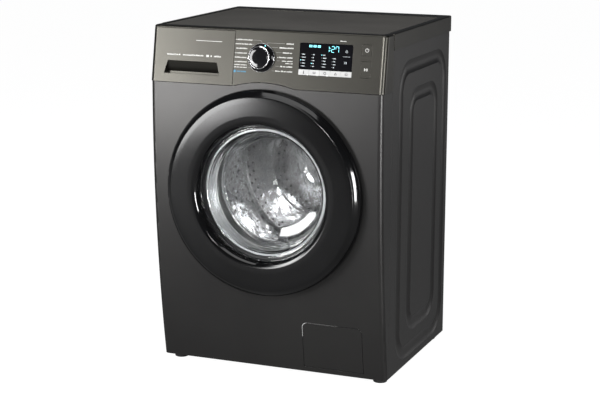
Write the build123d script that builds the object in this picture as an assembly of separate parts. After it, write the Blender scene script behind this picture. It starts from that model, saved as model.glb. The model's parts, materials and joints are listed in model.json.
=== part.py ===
from build123d import *
import math
import os

# Front load washing machine. Millimetres, +Z up, fronts face -Y, +X to the user's right.
# Origin: on the floor, under the middle of the machine's bounding box.

# overall sizes
width = 600             # across the top frame
height = 850
depth = 550             # door front to the back of the top frame
door_proud = 33         # door front ahead of the front reference plane
foot_gap = 15           # floor to the cabinet's lower edge

front_y = -depth / 2 + door_proud       # front reference plane
back_y = depth / 2

# clearances
seam = 1.0              # visible joint between neighbouring covers
slip = 0.4              # moulded piece in its opening
run = 0.05              # radial clearance of a shaft in its bore
air = 0.3               # soft or belt-like piece beside a piece of another body

# sheet metal and moulded walls
sheet = 1.0
skin = 2.5

# side panels
side_inset = 3          # side panel inside the top frame's edge
side_x = width / 2 - side_inset
seam_y = front_y + 64   # front cover and fascia meet the side panels here
panel_back = back_y - 13
flange = 14
tuck = 6                # side panel tucked up inside the top frame
groove_w = 34
groove_d = 4.5
groove_margins = (61, 38, 52, 34)       # outer groove's middle to seam, back, top frame, floor edge
groove_step = (80, 68, 73, 60)          # from the outer groove to the inner one, same order
groove_radii = (62, 45)

# top
frame_h = 39
frame_wall = 2.5
border = 16             # top frame's visible rim at the sides
rear_border = 58
board_t = 14            # top board
board_front_y = front_y + 42

# fascia
fascia_h = 133
fascia_z = height - fascia_h
fascia_foot = -4        # face at the fascia's lower edge, from the reference plane
fascia_head = 20        # the same at the top edge
lean = math.atan2(fascia_head - fascia_foot, fascia_h)
corner_r = 12
top_r = 5
fascia_x = width / 2 - 1

# door circles and height
ring_r = 250.5          # widest circle of the door ring
port_r = 168            # opening for the gasket
arch_r = ring_r + 15.5  # arch of the lower fascia edge, about the door's centre
arch_rise = 11.5        # how far the arch climbs above the fascia's lower edge
door_z = fascia_z + arch_rise - arch_r

# front panel
cover_r = 3700          # the face is an arc of this radius
cover_z = fascia_z - 77                 # its most forward height
cover_lead = -5
cover_x = side_x
dish_r = ring_r - 25.5  # recess behind the door
dish_y = front_y + 20
collar = 12             # flange around the port

# door
brow_r = ring_r - 14.5  # front edge
lip_r = port_r + 2      # inner edge at the front
rim_r = port_r - 7      # inner edge at the glass
ring_t = 3              # wall of the door ring
shoulder = 20           # from the front edge back to the widest circle
door_gap = 4            # door ring to the front panel's face
door_front_y = front_y - door_proud
glass_y = front_y
glass_t = 4
bowl_r = port_r - 20
bowl_depth = 78
frame_r = dish_r - 11   # inner frame, inside the dish
frame_t = 5
frame_back_y = dish_y - 4
hinge_x = 21 - ring_r
hinge_y = front_y - 22
hinge_pin_r = 2.5
knuckle_r = 4
knuckle_h = 54
ear_t = 8
ear_r = 4
ear_reach = 22          # cranked ears: first sideways from the pin, then back to the recess
ear_w = 7
swing_r = 17.5          # what the door ring keeps beside the pin, so that it swings clear
hook_x = frame_r - 18
hook_pin_y = front_y + 4
hook_pin_r = 3
hook_w = 10             # hook's width up and down
hook_l = 42             # from the pin back to the hook's end
lug_t = 4               # lugs on the inner frame that hold the hook's pin
lock_l = 30
lock_mouth = (-12, 16, 13)              # mouth of the lock, either side of the hook and half its height
grip_angle = 28         # handle scoop, each way from level
grip_y = front_y - 15   # ring cut away behind this, for the fingers

# drawer and dispenser
drawer_w = 218.5        # from the machine's left edge to the drawer's seam
drawer_x1 = -width / 2 + drawer_w
drawer_return_y = front_y + 30
drawer_t = 12
tray_w = 172
tray_h = 62
tray_back_y = front_y + 231
tray_wall = 2
tray_x = drawer_x1 - 12 - tray_w / 2
tray_z = fascia_z + 8   # tray floor
tray_y = front_y + 4    # before the tray's front is cut parallel to the drawer's face
tray_solid = 48         # solid foot of the tray ahead of its cells
housing_wall = 2.5
housing_play = 2        # tray to housing, each side
spout_r = 14
spout_bore = 11.5
bellows_r = 16          # hose from the spout to the tub
pull_top = 53           # pull recess, heights above the fascia's lower edge
pull_bottom = 21
pull_depth = 15
pull_wall = 2.2
pull_x = drawer_x1 - 108
pull_w_top = 129
pull_w_bottom = 147

# control panel, measured up the leaning face from its lower edge
knob_x = -11
knob_s = 69
knob_r = 27
knob_base_r = knob_r + 6
knob_h = 18
bezel_h = 3
spindle_r = 3
button_x = width / 2 - 49
display_x = button_x - 100
display_w = 132
display_s = 79
display_h = 62
key_count = 5
key_h = 13
key_travel = 0.8
button_w = 24
power_s = 100
power_h = 25
start_s = 55
start_h = 38
button_lip = 4          # retaining lip behind the fascia
board_gap = 20          # circuit board behind the face
board_thick = 1.6
switch_h = 3
switch_play = 0.15

# tub and drum, on the door's axis
tub_r = 252
tub_wall = 4
tub_y0 = front_y + 88
tub_back_y = panel_back - 83
tub_split_y = tub_back_y - 171
tub_mouth_r = port_r + 4
tub_collar = 24
drum_r = tub_r - 20
drum_wall = 1.2
drum_mouth_r = port_r - 8
drum_y0 = tub_y0 + 18
drum_back_y = tub_back_y - 23
shaft_r = 12.5
bearing_r = 26
bearing_w = 15
hub_r = 34
hub_l = 30
lifter_h = 52
lifter_w = 58
pulley_r = 140
pulley_w = 12
pulley_y = panel_back - 42
belt_t = 4
motor_r = 62
motor_z = door_z - tub_r - motor_r - 18.5
motor_l = 120
motor_y1 = pulley_y - 22
mount_x = 40            # motor bosses, from the middle
motor_shaft_r = 8
motor_pulley_r = 11
weight_r0 = tub_mouth_r + 14
weight_r1 = tub_r - 16
weight_t = 34
top_weight_w = 220
top_weight_l = 130
top_weight_h = 46
lug_x = tub_r - 38      # spring lugs on the tub
lug_z = door_z + tub_r - 77
spring_y = tub_split_y + 18
spring_r = 14
spring_wire = 2
spring_hook = 30        # straight hook at the top of a spring
brace_w = 26
brace_h = 18
brace_t = 2
damper_x = width / 2 - 150              # in line with the pump, clear of the sump hose
damper_y = tub_split_y + 12
damper_r = 17
damper_rod_r = 6
damper_top_z = door_z - tub_r + 4.5
damper_base = 18        # block that a damper stands on, above the pan's underside

# pump and filter, lower right
hatch_x = width / 2 - 137
hatch_w = 153
hatch_z0 = 28
hatch_h = 115
hatch_r = 12            # upper corners; the lower ones are nearly square, beside the hinge
hatch_foot_r = 3
hatch_t = 2.5
filter_z = 86
filter_r = 31
filter_gap = 0.2
filter_cap_y = front_y + 74
pump_wall = 4
pump_y1 = front_y + 205
hose_r = 17             # sump hose, outside
hose_bore = 14

# feet
foot_x = width / 2 - 32
foot_r = 17
foot_pad_h = 7
foot_front_y = front_y + 88
foot_back_y = panel_back - 32
stud_r = 5
stud_play = 0.1
nut_z = 10              # underside of the lock nut
pan_t = 3
pan_h = 28
pan_z = foot_gap + sheet

# rear
service_w = 390
service_h = 430
service_z = door_z - 62.5
service_lap = 15        # cover over the edge of its opening
service_rise = 6
valve_x = 95 - width / 2
valve_z = height - 90
valve_r = 13.2          # three-quarter inch hose thread
valve_proud = 12
outlet_x = width / 2 - 100
outlet_z = height - 150
outlet_r = 9.5
transit_x = service_w / 2 + 40
transit_dz = 150
transit_r = 7


# ---------------------------------------------------------------- helpers

def block(x0, x1, y0, y1, z0, z1):
    middle = ((x0 + x1) / 2, (y0 + y1) / 2, (z0 + z1) / 2)
    return Pos(*middle) * Box(x1 - x0, y1 - y0, z1 - z0)


def rod_y(x, z, r, y0, y1):
    return Pos(x, (y0 + y1) / 2, z) * Rot(90, 0, 0) * Cylinder(r, y1 - y0)


def rod_z(x, y, r, z0, z1):
    return Pos(x, y, (z0 + z1) / 2) * Cylinder(r, z1 - z0)


def rod_x(y, z, r, x0, x1):
    return Pos((x0 + x1) / 2, y, z) * Rot(0, 90, 0) * Cylinder(r, x1 - x0)


def turned(points, x=0, z=door_z, rounds=0):
    """Solid of revolution about a line along Y, from (radius, y) points."""
    face = make_face(Polyline(*points, close=True))
    if rounds:
        face = fillet(face.vertices(), rounds)
    return Pos(x, 0, z) * revolve(face, Axis.Y)


def tube_y(x, z, r0, r1, y0, y1):
    return rod_y(x, z, r1, y0, y1) - rod_y(x, z, r0, y0 - 1, y1 + 1)


def slab_y(y0, y1, outline):
    """Flat outline in XZ given thickness from y0 to y1."""
    return Pos(0, y1, 0) * extrude(Plane.XZ * outline, amount=y1 - y0)


def cover_y(z):
    """Y of the front panel's face at height z."""
    return front_y + cover_lead + cover_r - math.sqrt(cover_r ** 2 - (z - cover_z) ** 2)


def cover_solid(inset, x, z0, z1, y1):
    """Solid behind the curved face, moved back by inset."""
    face = [(cover_y(z) + inset, z) for z in (z0, (z0 + z1) / 2, z1)]
    arc = ThreePointArc(*face)
    back = Polyline(face[2], (y1, z1), (y1, z0), face[0])
    return extrude(Plane.YZ * make_face(arc + back), amount=x, both=True)


def face_plane():
    """Plane of the leaning fascia: local Y climbs the face, local Z points out at the user."""
    origin = (0, front_y + fascia_foot, fascia_z)
    normal = (0, -math.cos(lean), math.sin(lean))
    return Plane(origin=origin, x_dir=(1, 0, 0), z_dir=normal)


def on_face(x, s, w, h, r, d0, d1):
    """Rounded block on the leaning face, from depth d0 to d1 along its outward normal."""
    outline = RectangleRounded(w, h, r) if r else Rectangle(w, h)
    return face_plane() * Pos(x, s, d0) * extrude(outline, amount=d1 - d0)


def disc_on_face(x, s, r, d0, d1):
    return face_plane() * Pos(x, s, (d0 + d1) / 2) * Cylinder(r, d1 - d0)


def fascia_shell(inset):
    """Outer form of the fascia, or its inner form when inset."""
    y0 = front_y + fascia_foot + inset / math.cos(lean)
    y1 = front_y + fascia_head + inset / math.cos(lean)
    top = height - inset
    slope = (y1 - y0) / fascia_h
    profile = [(y0, fascia_z), (y0 + slope * (top - fascia_z), top), (seam_y + inset, top),
               (seam_y + inset, fascia_z)]
    form = extrude(Plane.YZ * make_face(Polyline(*profile, close=True)),
                   amount=fascia_x - inset, both=True)
    front = form.edges().filter_by(Axis.Y, reverse=True).filter_by(Axis.X, reverse=True)
    upright = front.group_by(Axis.Y)[0]
    form = fillet(upright, corner_r - inset)
    if inset < top_r:
        rim = form.edges().group_by(Axis.Z)[-1].filter_by(lambda e: e.center().Y < seam_y - 0.1)
        form = fillet(rim, top_r - inset)
    return form


# ---------------------------------------------------------------- cabinet

def side_panel(side):
    """Sheet panel with returned edges and two pressed grooves, one inside the other."""
    x = side * side_x
    z0 = foot_gap
    z1 = height - frame_h + tuck
    y0 = seam_y
    y1 = panel_back

    def strip(depth_in, ya, yb, za, zb):
        xs = sorted((x, x - side * depth_in))
        return block(xs[0], xs[1], ya, yb, za, zb)

    panel = strip(sheet, y0, y1, z0, z1)
    panel += strip(flange, y0, y0 + sheet, z0, z1 - tuck)
    panel += strip(flange, y1 - sheet, y1, z0, z1 - tuck)
    panel += strip(flange, y0, y1, z0, z0 + sheet)
    near, far, top, low = groove_margins
    loop = [y0 + near, y1 - far, z0 + low, height - frame_h - top]
    for ring in range(2):
        path = groove_path(*loop, groove_radii[ring])
        panel += press(path, x, side, groove_w + 2 * sheet, groove_d + sheet)
        panel -= press(path, x, side, groove_w, groove_d)
        loop = [loop[0] + groove_step[0], loop[1] - groove_step[1],
                loop[2] + groove_step[3], loop[3] - groove_step[2]]
    return panel


def groove_path(y0, y1, z0, z1, r):
    loop = Polyline((y0, z0), (y1, z0), (y1, z1), (y0, z1), close=True)
    outline = fillet(make_face(loop).vertices(), r)
    return Plane.YZ * outline.face().outer_wire()


def press(path, x, side, w, d):
    """Channel of circular section, w across at the sheet and d deep, along the path."""
    path = Pos(x, 0, 0) * path
    start = path @ 0
    along = path % 0
    r = (w * w / 4 + d * d) / (2 * d)
    half = w / 2
    section = Plane(origin=start, x_dir=(-side, 0, 0), z_dir=along)
    arc = ThreePointArc((0, -half), (d, 0), (0, half))
    face = section * make_face(arc + Line((0, half), (0, -half)))
    return sweep(face, path=path)


def front_panel():
    """Curved sheet cover with side returns, door recess, gasket port and hatch opening."""
    z0 = foot_gap
    z1 = fascia_z - seam
    top = door_z + arch_r - seam
    back = seam_y - seam
    outer = cover_solid(0, cover_x, z0, top, back)
    outer = fillet(outer.edges().filter_by(GeomType.CIRCLE), corner_r)
    inner = cover_solid(sheet, cover_x - sheet, z0 - 5, top + 5, back + 5)
    inner = fillet(inner.edges().filter_by(GeomType.CIRCLE), corner_r - sheet)
    shell = outer - inner
    keep = block(-cover_x, cover_x, front_y - 50, back, z0, z1)
    keep += rod_y(0, door_z, arch_r - seam, front_y - 50, back)
    shell = shell & keep
    # recess behind the door: the curved face gives way to a flat dish
    face_cut = rod_y(0, door_z, dish_r - sheet, front_y - 50, dish_y)
    wall = rod_y(0, door_z, dish_r, front_y - 50, dish_y + sheet)
    wall = wall & cover_solid(0, cover_x, z0, top, back)
    shell = shell + wall - face_cut
    shell += tube_y(0, door_z, port_r, port_r + sheet, dish_y, dish_y + collar)
    shell -= rod_y(0, door_z, port_r, front_y, dish_y + 2 * sheet)
    # slot for the door hook
    shell -= lock_slot(dish_y - 1, dish_y + 2 * sheet)
    # opening for the filter hatch
    shell -= hatch_form(seam, front_y - 20, front_y + 60)
    foot_x1 = hatch_x + hatch_w / 2 + seam
    shell -= block(2 * hatch_x - foot_x1, foot_x1, front_y - 20, front_y + 60, hatch_z0 - seam,
                   hatch_z0 + hatch_foot_r)
    # folded lower edge
    shell += block(-cover_x + 20, cover_x - 20, cover_y(z0) + sheet / 2, back, z0, z0 + sheet)
    return shell


def lock_slot(y0, y1):
    """Passage of the door hook through the recess and into the lock."""
    left, right, half = lock_mouth
    return block(hook_x + left, hook_x + right, y0, y1, door_z - half, door_z + half)


def hatch_form(grow, y0, y1):
    """Outline of the filter hatch, or of its opening when grown."""
    x = hatch_w / 2 + grow
    z0 = hatch_z0 - grow
    z1 = hatch_z0 + hatch_h + grow
    form = block(hatch_x - x, hatch_x + x, y0, y1, z0, z1)
    uprights = form.edges().filter_by(Axis.Y).group_by(Axis.Z)
    form = fillet(uprights[-1], hatch_r + grow)
    return fillet(form.edges().filter_by(Axis.Y).filter_by(GeomType.LINE).group_by(Axis.Z)[0], hatch_foot_r)


def rounded_plate(x, z, w, h, r, y0, y1):
    outline = Plane.XZ * RectangleRounded(w, h, r)
    return Pos(x, y1, z) * extrude(outline, amount=y1 - y0)


def rear_panel():
    """Pressed back sheet with the service opening and the outlets."""
    y1 = panel_back - sheet
    y0 = y1 - sheet
    x = side_x - sheet - slip
    panel = block(-x, x, y0, y1, foot_gap + sheet + slip, height - frame_h + tuck)
    panel -= rounded_plate(0, service_z, service_w - 2 * service_lap, service_h - 2 * service_lap, 40,
                           y0 - 1, y1 + 1)
    panel -= rod_y(valve_x, valve_z, valve_r + 2, y0 - 1, y1 + 1)
    panel -= rod_y(outlet_x, outlet_z, outlet_r + 2, y0 - 1, y1 + 1)
    for sx in (-1, 1):
        for sz in (-1, 1):
            panel -= rod_y(sx * transit_x, service_z + sz * transit_dz, transit_r, y0 - 1, y1 + 1)
    return panel


def rear_service_cover():
    """Removable cover with a raised middle and cooling slots."""
    y0 = panel_back - sheet
    y1 = y0 + sheet
    cover = rounded_plate(0, service_z, service_w, service_h, 48, y0, y1)
    top = y1 + service_rise
    w = service_w - 80
    h = service_h - 80
    cover += rounded_plate(0, service_z, w, h, 40, y0, top)
    cover -= rounded_plate(0, service_z, w - 4, h - 4, 38, y0 - 1, top - sheet)
    for row in range(6):
        cover -= rounded_plate(0, service_z - h / 2 + 25 + row * 16, 160, 5, 2.4, y0, top + 1)
    return cover


def top_frame():
    """Plastic frame: skirt at the sides and back, rim around the top board."""
    x = width / 2
    y0 = seam_y + seam
    z0 = height - frame_h
    outer = block(-x, x, y0, back_y, z0, height)
    uprights = outer.edges().filter_by(Axis.Z).group_by(Axis.Y)[-1]
    outer = fillet(uprights, 10)
    rim = outer.edges().group_by(Axis.Z)[-1].filter_by(lambda e: e.center().Y > y0 + 1)
    outer = fillet(rim, 3)
    inner = block(-x + frame_wall, x - frame_wall, y0 - 1, back_y - frame_wall, z0 - 1, height - 3)
    frame = outer - inner
    frame -= block(-x + border, x - border, y0 - 5, back_y - rear_border, z0, height + 5)
    ledge_z = height - board_t - seam
    bx = x - border
    by = back_y - rear_border
    step = block(-bx - 4, bx + 4, y0, by + 4, ledge_z - 3, height - 3)
    step -= block(-bx + 10, bx - 10, y0 - 1, by - 10, ledge_z - 4, height)
    step -= block(-bx, bx, y0 - 1, by, ledge_z, height)
    return frame + step


def top_panel():
    x = width / 2 - border - slip
    board = block(-x, x, board_front_y + slip, back_y - rear_border - slip, height - seam - board_t,
                  height - seam)
    return chamfer(board.edges().group_by(Axis.Z)[-1], 0.8)


def base_pan():
    """Bottom pan with upstand, foot bosses and damper feet."""
    x = side_x - flange - slip
    y0 = seam_y + 4
    y1 = panel_back - flange - slip
    z0 = pan_z
    pan = block(-x, x, y0, y1, z0, z0 + pan_h)
    pan -= block(-x + pan_t, x - pan_t, y0 + pan_t, y1 - pan_t, z0 + pan_t, z0 + pan_h + 1)
    # opening below the motor
    pan -= block(-170, 170, damper_y + 38, y1 - 60, z0 - 1, z0 + pan_t + 1)
    for fx, fy in foot_places():
        pan += rod_z(fx, fy, 13, z0, z0 + 22)
        pan -= rod_z(fx, fy, stud_r + stud_play, z0 - 5, z0 + pan_h)
    for sx in (-1, 1):
        x = sx * damper_x
        pan += block(x - 13, x + 13, damper_y - 13, damper_y + 13, z0, z0 + damper_base)
    return pan


def foot_places():
    return [(sx * foot_x, fy) for fy in (foot_front_y, foot_back_y) for sx in (-1, 1)]


def foot(fx, fy):
    """Adjustable foot: pad, hexagon and stud."""
    pad = rod_z(fx, fy, foot_r, 0, foot_pad_h)
    pad = chamfer(pad.edges().group_by(Axis.Z)[0], 1)
    waist = Pos(fx, fy, foot_pad_h) * extrude(RegularPolygon(10, 6), amount=nut_z - foot_pad_h - slip)
    return pad + waist + rod_z(fx, fy, stud_r, foot_pad_h, pan_z + pan_h + 11)


def foot_lock_nuts():
    nuts = []
    for fx, fy in foot_places():
        nut = Pos(fx, fy, nut_z) * extrude(RegularPolygon(9.8, 6), amount=pan_z - nut_z)
        nuts.append(nut - rod_z(fx, fy, stud_r + stud_play, nut_z - 1, pan_z + 1))
    return Compound(children=[n.solid() for n in nuts])


def cross_braces():
    """Two channel rails between the side panels, below the top board."""
    rails = []
    x = side_x - sheet - slip
    z1 = brace_top()
    half = brace_w / 2
    for y in (spring_y, panel_back - 50):
        rail = block(-x, x, y - half, y + half, z1 - brace_h, z1)
        rail -= block(-x - 1, x + 1, y - half + brace_t, y + half - brace_t, z1 - brace_h - 1, z1 - brace_t)
        rails.append(rail)
    return Compound(children=[r.solid() for r in rails])


def brace_top():
    return height - board_t - seam - 4


def control_fascia():
    """Fascia with its openings, the drawer's bulkhead and screw bosses."""
    form = fascia_shell(0) - fascia_shell(skin)
    form -= block(-fascia_x - 5, drawer_x1 + seam, front_y - 50, drawer_return_y + seam,
                  fascia_z - 5, height - top_r)
    form -= rod_y(0, door_z, arch_r, front_y - 50, seam_y + 5)
    # seat for the front of the top board
    bx = width / 2 - border
    ledge_z = height - board_t - seam
    form -= block(-bx, bx, board_front_y, seam_y + 5, ledge_z - 5, height + 5)
    form += block(-bx, bx, board_front_y - skin, board_front_y, ledge_z - skin, height - 1)
    form += block(-bx, bx, board_front_y - skin, board_front_y + 16, ledge_z - skin, ledge_z)
    bulk = on_face(0, fascia_h / 2, 2 * width, fascia_h * 2, 0, -drawer_t - 6, -drawer_t - 4)
    bulk = bulk & block(-fascia_x + skin + 2, drawer_x1 + 14, front_y - 50, seam_y, fascia_z + skin + seam,
                        height - skin)
    bulk -= tray_passage(front_y - 50, seam_y)
    form += bulk
    # wall beside the drawer, along its seam
    form += (block(drawer_x1 + seam, drawer_x1 + seam + 2, front_y - 50, seam_y - 10, fascia_z, height)
             & fascia_shell(skin)
             & on_face(0, 60, 2 * width, 400, 0, -drawer_t - 6, 0))
    form -= disc_on_face(knob_x, knob_s, knob_base_r - 4, -10, 10)
    form -= on_face(display_x, display_s, display_w, display_h, 3, -10, 10)
    form -= on_face(display_x, keys_s(), display_w, key_h + slip, 0, -10, 10)
    form -= on_face(button_x, power_s, button_w + 2 * slip, power_h + 2 * slip, 2, -10, 10)
    form -= on_face(button_x, start_s, button_w + 2 * slip, start_h + 2 * slip, 2, -10, 10)
    return form


def tray_passage(y0, y1):
    """Space that the tray runs in."""
    x = tray_w / 2 + housing_play
    return block(tray_x - x, tray_x + x, y0, y1, tray_z - 4, tray_z + tray_h + 3)


def keys_s():
    return display_s - display_h / 2 - key_h / 2


def display_window():
    """Tinted window with a carrier frame behind it."""
    window = on_face(display_x, display_s, display_w - 2 * slip, display_h - 2 * slip, 3, -skin, 0)
    window += on_face(display_x, display_s, display_w + 8, display_h + 8, 3, -skin - 3, -skin)
    window -= on_face(display_x, display_s - display_h / 2 - 3, display_w + 10, 6, 0, -skin - 4, -skin)
    return window


def control_board():
    """Circuit board with the segment display, the encoder and the button switches."""
    x0 = knob_x - 29
    x1 = button_x + 19
    board = on_face((x0 + x1) / 2, 72, x1 - x0, 96, 0, -board_gap - board_thick, -board_gap)
    board += on_face(display_x, display_s, display_w - 22, display_h - 16, 0, -board_gap, -skin - 5)
    board += disc_on_face(knob_x, knob_s, 9, -board_gap, -12)
    board -= disc_on_face(knob_x, knob_s, spindle_r + run, -board_gap - 5, 0)
    for x, s, w, h in button_places():
        board += on_face(x, s, 6, 6, 0, -board_gap, -board_gap + switch_h)
    board += on_face(40, 30, 40, 8, 0, -board_gap - 12, -board_gap - board_thick)
    return board


def button_places():
    pitch = display_w / key_count
    left = display_x - display_w / 2 + pitch / 2
    keys = [(left + pitch * i, keys_s(), pitch - slip, key_h - slip) for i in range(key_count)]
    return keys + [(button_x, power_s, button_w, power_h), (button_x, start_s, button_w, start_h)]


def button(x, s, w, h):
    """Cap in its opening, retaining lip behind the fascia and plunger over its switch."""
    cap = on_face(x, s, w, h, 1, -skin, -0.4)
    lip = on_face(x, s, w - 0.6, h - 0.6, 0, -skin - button_lip, -skin)
    plunger = on_face(x, s, 5, 5, 0, -board_gap + switch_h + key_travel + switch_play, -skin - button_lip)
    return cap + lip + plunger


def knob_bezel():
    """Base ring around the knob, with a spigot through the fascia."""
    ring = disc_on_face(knob_x, knob_s, knob_base_r, 0, bezel_h)
    ring = chamfer(ring.edges().filter_by(GeomType.CIRCLE).sort_by(Axis.Y)[0], 1.2)
    ring += disc_on_face(knob_x, knob_s, knob_base_r - 4 - slip, -skin - 2, 0)
    return ring - disc_on_face(knob_x, knob_s, knob_r + slip, -10, 10)


def program_knob():
    """Turned knob with a dished face, its skirt inside the base ring and a spindle."""
    knob = disc_on_face(knob_x, knob_s, knob_r, -skin, knob_h)
    rim = knob.edges().filter_by(GeomType.CIRCLE).sort_by(Axis.Y)[0]
    knob = fillet(rim, 3)
    knob -= disc_on_face(knob_x, knob_s, knob_r - 4.5, knob_h - 1.2, knob_h + 1)
    knob -= disc_on_face(knob_x, knob_s, knob_r - 2.5, -skin - 1, knob_h - 6)
    knob += disc_on_face(knob_x, knob_s, 6, -8, knob_h - 6)
    knob += disc_on_face(knob_x, knob_s, spindle_r, -board_gap - 0.5, -8)
    return knob


def dispenser_housing():
    """Open-fronted box that the drawer runs in, with the outlet spout below."""
    w = housing_wall
    y0 = front_y + 48
    y1 = tray_back_y + 8
    hollow = tray_passage(y0, y1)
    inside = hollow.bounding_box()
    z0 = inside.min.Z
    z1 = inside.max.Z
    box = block(inside.min.X - w, inside.max.X + w, y0, y1 + w, z0 - w, z1 + w) - hollow
    # runner ribs under the tray
    for x in (tray_x - tray_w / 3, tray_x + tray_w / 3):
        box += block(x - 2, x + 2, y0, y1, z0, tray_z - air)
    # spout above the tub
    sx, sy, sz = spout_place()
    box += rod_z(sx, sy, spout_r, sz, z0)
    box -= rod_z(sx, sy, spout_bore, sz - 1, z0 + 1)
    # inlet stub towards the valve, beside the left spring
    stub_x = 34.5 - lug_x
    box += rod_y(stub_x, z1 - 14, 8, y1, y1 + 16)
    box -= rod_y(stub_x, z1 - 14, 5.5, y1 - 3, y1 + 17)
    return box


def spout_place():
    return (tray_x + tray_w / 2 - 26, tray_back_y - 14, tray_z - 12)


def inlet_valve():
    """Solenoid valve with the threaded hose connection through the back."""
    y1 = panel_back - 2 * sheet
    tip = panel_back + valve_proud
    body = block(valve_x - 22, valve_x + 22, y1 - 50, y1, valve_z - 18, valve_z + 18)
    body = fillet(body.edges().filter_by(Axis.Y), 5)
    body += rod_y(valve_x, valve_z, valve_r, y1, tip)
    body += rod_z(valve_x, y1 - 26, 13, valve_z - 46, valve_z - 18)
    body -= rod_y(valve_x, valve_z, 8, y1 - 20, tip + 1)
    return body


def drain_pump():
    """Pump with the filter housing that faces the hatch, bolted to the base."""
    y0 = filter_cap_y - 8
    y1 = filter_cap_y + 76
    bore = filter_r + filter_gap
    r = bore + pump_wall
    pump = rod_y(hatch_x, filter_z, r, y0, y1)
    pump += rod_y(hatch_x, filter_z, r + 4, y0, y0 + 4)
    pump += rod_y(hatch_x, filter_z, 30, y1, pump_y1)
    pump += block(hatch_x - 34, hatch_x + 34, y0 + 12, y1 - 4, pan_z + pan_t, filter_z - 20)
    # hose stub towards the tub
    hx, hy, hz = pump_hose_place()
    pump += rod_z(hx, hy, hose_r, filter_z + filter_r, hz)
    pump -= rod_z(hx, hy, hose_bore, filter_z, hz + 1)
    # outlet stub
    pump += rod_z(hatch_x + 22, pump_y1 - 26, outlet_r, filter_z + 18, filter_z + 56)
    pump -= rod_z(hatch_x + 22, pump_y1 - 26, outlet_r - 3, filter_z + 25, filter_z + 57)
    return pump - rod_y(hatch_x, filter_z, bore, y0 - 1, y1 - 6)


def pump_hose_place():
    return (hatch_x, filter_cap_y + 54, filter_z + filter_r + 29.5)


def drain_filter():
    """Screw-in filter: cap with a grip bar and a slotted basket."""
    x, z = hatch_x, filter_z
    y = filter_cap_y
    plug = rod_y(x, z, filter_r, y, y + 10)
    plug += rod_y(x, z, filter_r + 5, y - 12, y - 8 - air)
    plug += rod_y(x, z, filter_r - 1, y - 10, y)
    plug += block(x - 26, x + 26, y - 26, y - 10, z - 4, z + 4)
    basket = tube_y(x, z, filter_r - 6, filter_r - 4, y + 9, y + 60)
    basket += tube_y(x, z, 8, filter_r - 4, y + 58, y + 62)
    for turn in range(4):
        cut = Pos(x, y + 34, z) * Rot(0, 45 * turn, 0) * Box(9, 34, 2 * filter_r)
        basket -= cut
    return plug + basket


def filter_hatch():
    """Hatch curved like the cover, with a barrel along its lower edge and two snap tabs."""
    z0 = hatch_z0
    z1 = hatch_z0 + hatch_h
    form = cover_solid(0, width, z0 - 5, z1 + 5, seam_y)
    form -= cover_solid(hatch_t, width + 5, z0 - 9, z1 + 9, seam_y + 9)
    hatch = form & hatch_form(0, front_y - 20, seam_y)
    half = hatch_w / 2 - hatch_r
    hatch += rod_x(cover_y(z0) + 2, z0 + 2, 1.9, hatch_x - half, hatch_x + half)
    for sx in (-1, 1):
        tab_y = cover_y(z1) + hatch_t - 0.5
        hatch += block(hatch_x + sx * 40 - 6, hatch_x + sx * 40 + 6, tab_y, tab_y + 7, z1 - 8, z1 - 5)
    return hatch


def door_hinge_bracket():
    """Plate in the recess with two ears and the hinge pin."""
    plate_x = hinge_x + ear_reach
    plate = block(plate_x - 5, plate_x + 28, dish_y - 3, dish_y, door_z - 46, door_z + 46)
    for sz in (-1, 1):
        z0 = door_z + sz * (knuckle_h / 2 + 1 + ear_t / 2) - ear_t / 2
        head = Pos(hinge_x, hinge_y) * Circle(ear_r)
        half_w = ear_w / 2
        inner_x = plate_x - half_w
        outer_x = plate_x + half_w
        crank = make_face(Polyline((hinge_x, hinge_y - half_w), (outer_x, hinge_y - half_w),
                                   (outer_x + 6, dish_y - 2), (inner_x, dish_y - 2),
                                   (inner_x, hinge_y + half_w), (hinge_x, hinge_y + half_w), close=True))
        plate += Pos(0, 0, z0) * extrude(head + crank, amount=ear_t)
    half = knuckle_h / 2 + 1 + ear_t
    return plate + rod_z(hinge_x, hinge_y, hinge_pin_r, door_z - half - 1, door_z + half + 1)


def door_lock():
    """Lock box behind the recess, open where the hook enters."""
    y0 = dish_y + sheet
    body = block(hook_x - 18, hook_x + 30, y0, y0 + lock_l, door_z - 34, door_z + 34)
    body = fillet(body.edges().filter_by(Axis.Y), 4)
    return body - lock_slot(y0 - 1, y0 + lock_l - 3)


def door_gasket():
    """Rubber bellows from the port's collar to the mouth of the tub."""
    r = port_r - air
    y0 = dish_y - 2
    y1 = tub_y0 - tub_collar - air
    outer = [(r - 9, y0), (r, y0 + 3), (r, dish_y + collar + 2), (r + 6, dish_y + collar + 4),
             (r + 6, y1 - 4), (r + 6, y1), (r - 6, y1), (r - 3, y1 - 12), (r - 3, dish_y + collar + 8),
             (r - 9, dish_y + collar + 1)]
    return turned(outer)


def damper_cylinders():
    """Friction damper tubes standing on the base."""
    tubes = []
    z0 = pan_z + damper_base
    for sx in (-1, 1):
        x = sx * damper_x
        tube = rod_z(x, damper_y, damper_r, z0, damper_top_z)
        tube -= rod_z(x, damper_y, damper_r - 3, z0 + 6, damper_top_z - 6)
        tube -= rod_z(x, damper_y, damper_rod_r + run, damper_top_z - 7, damper_top_z + 1)
        tubes.append(tube.solid())
    return Compound(children=tubes)


# ---------------------------------------------------------------- tub

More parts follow.
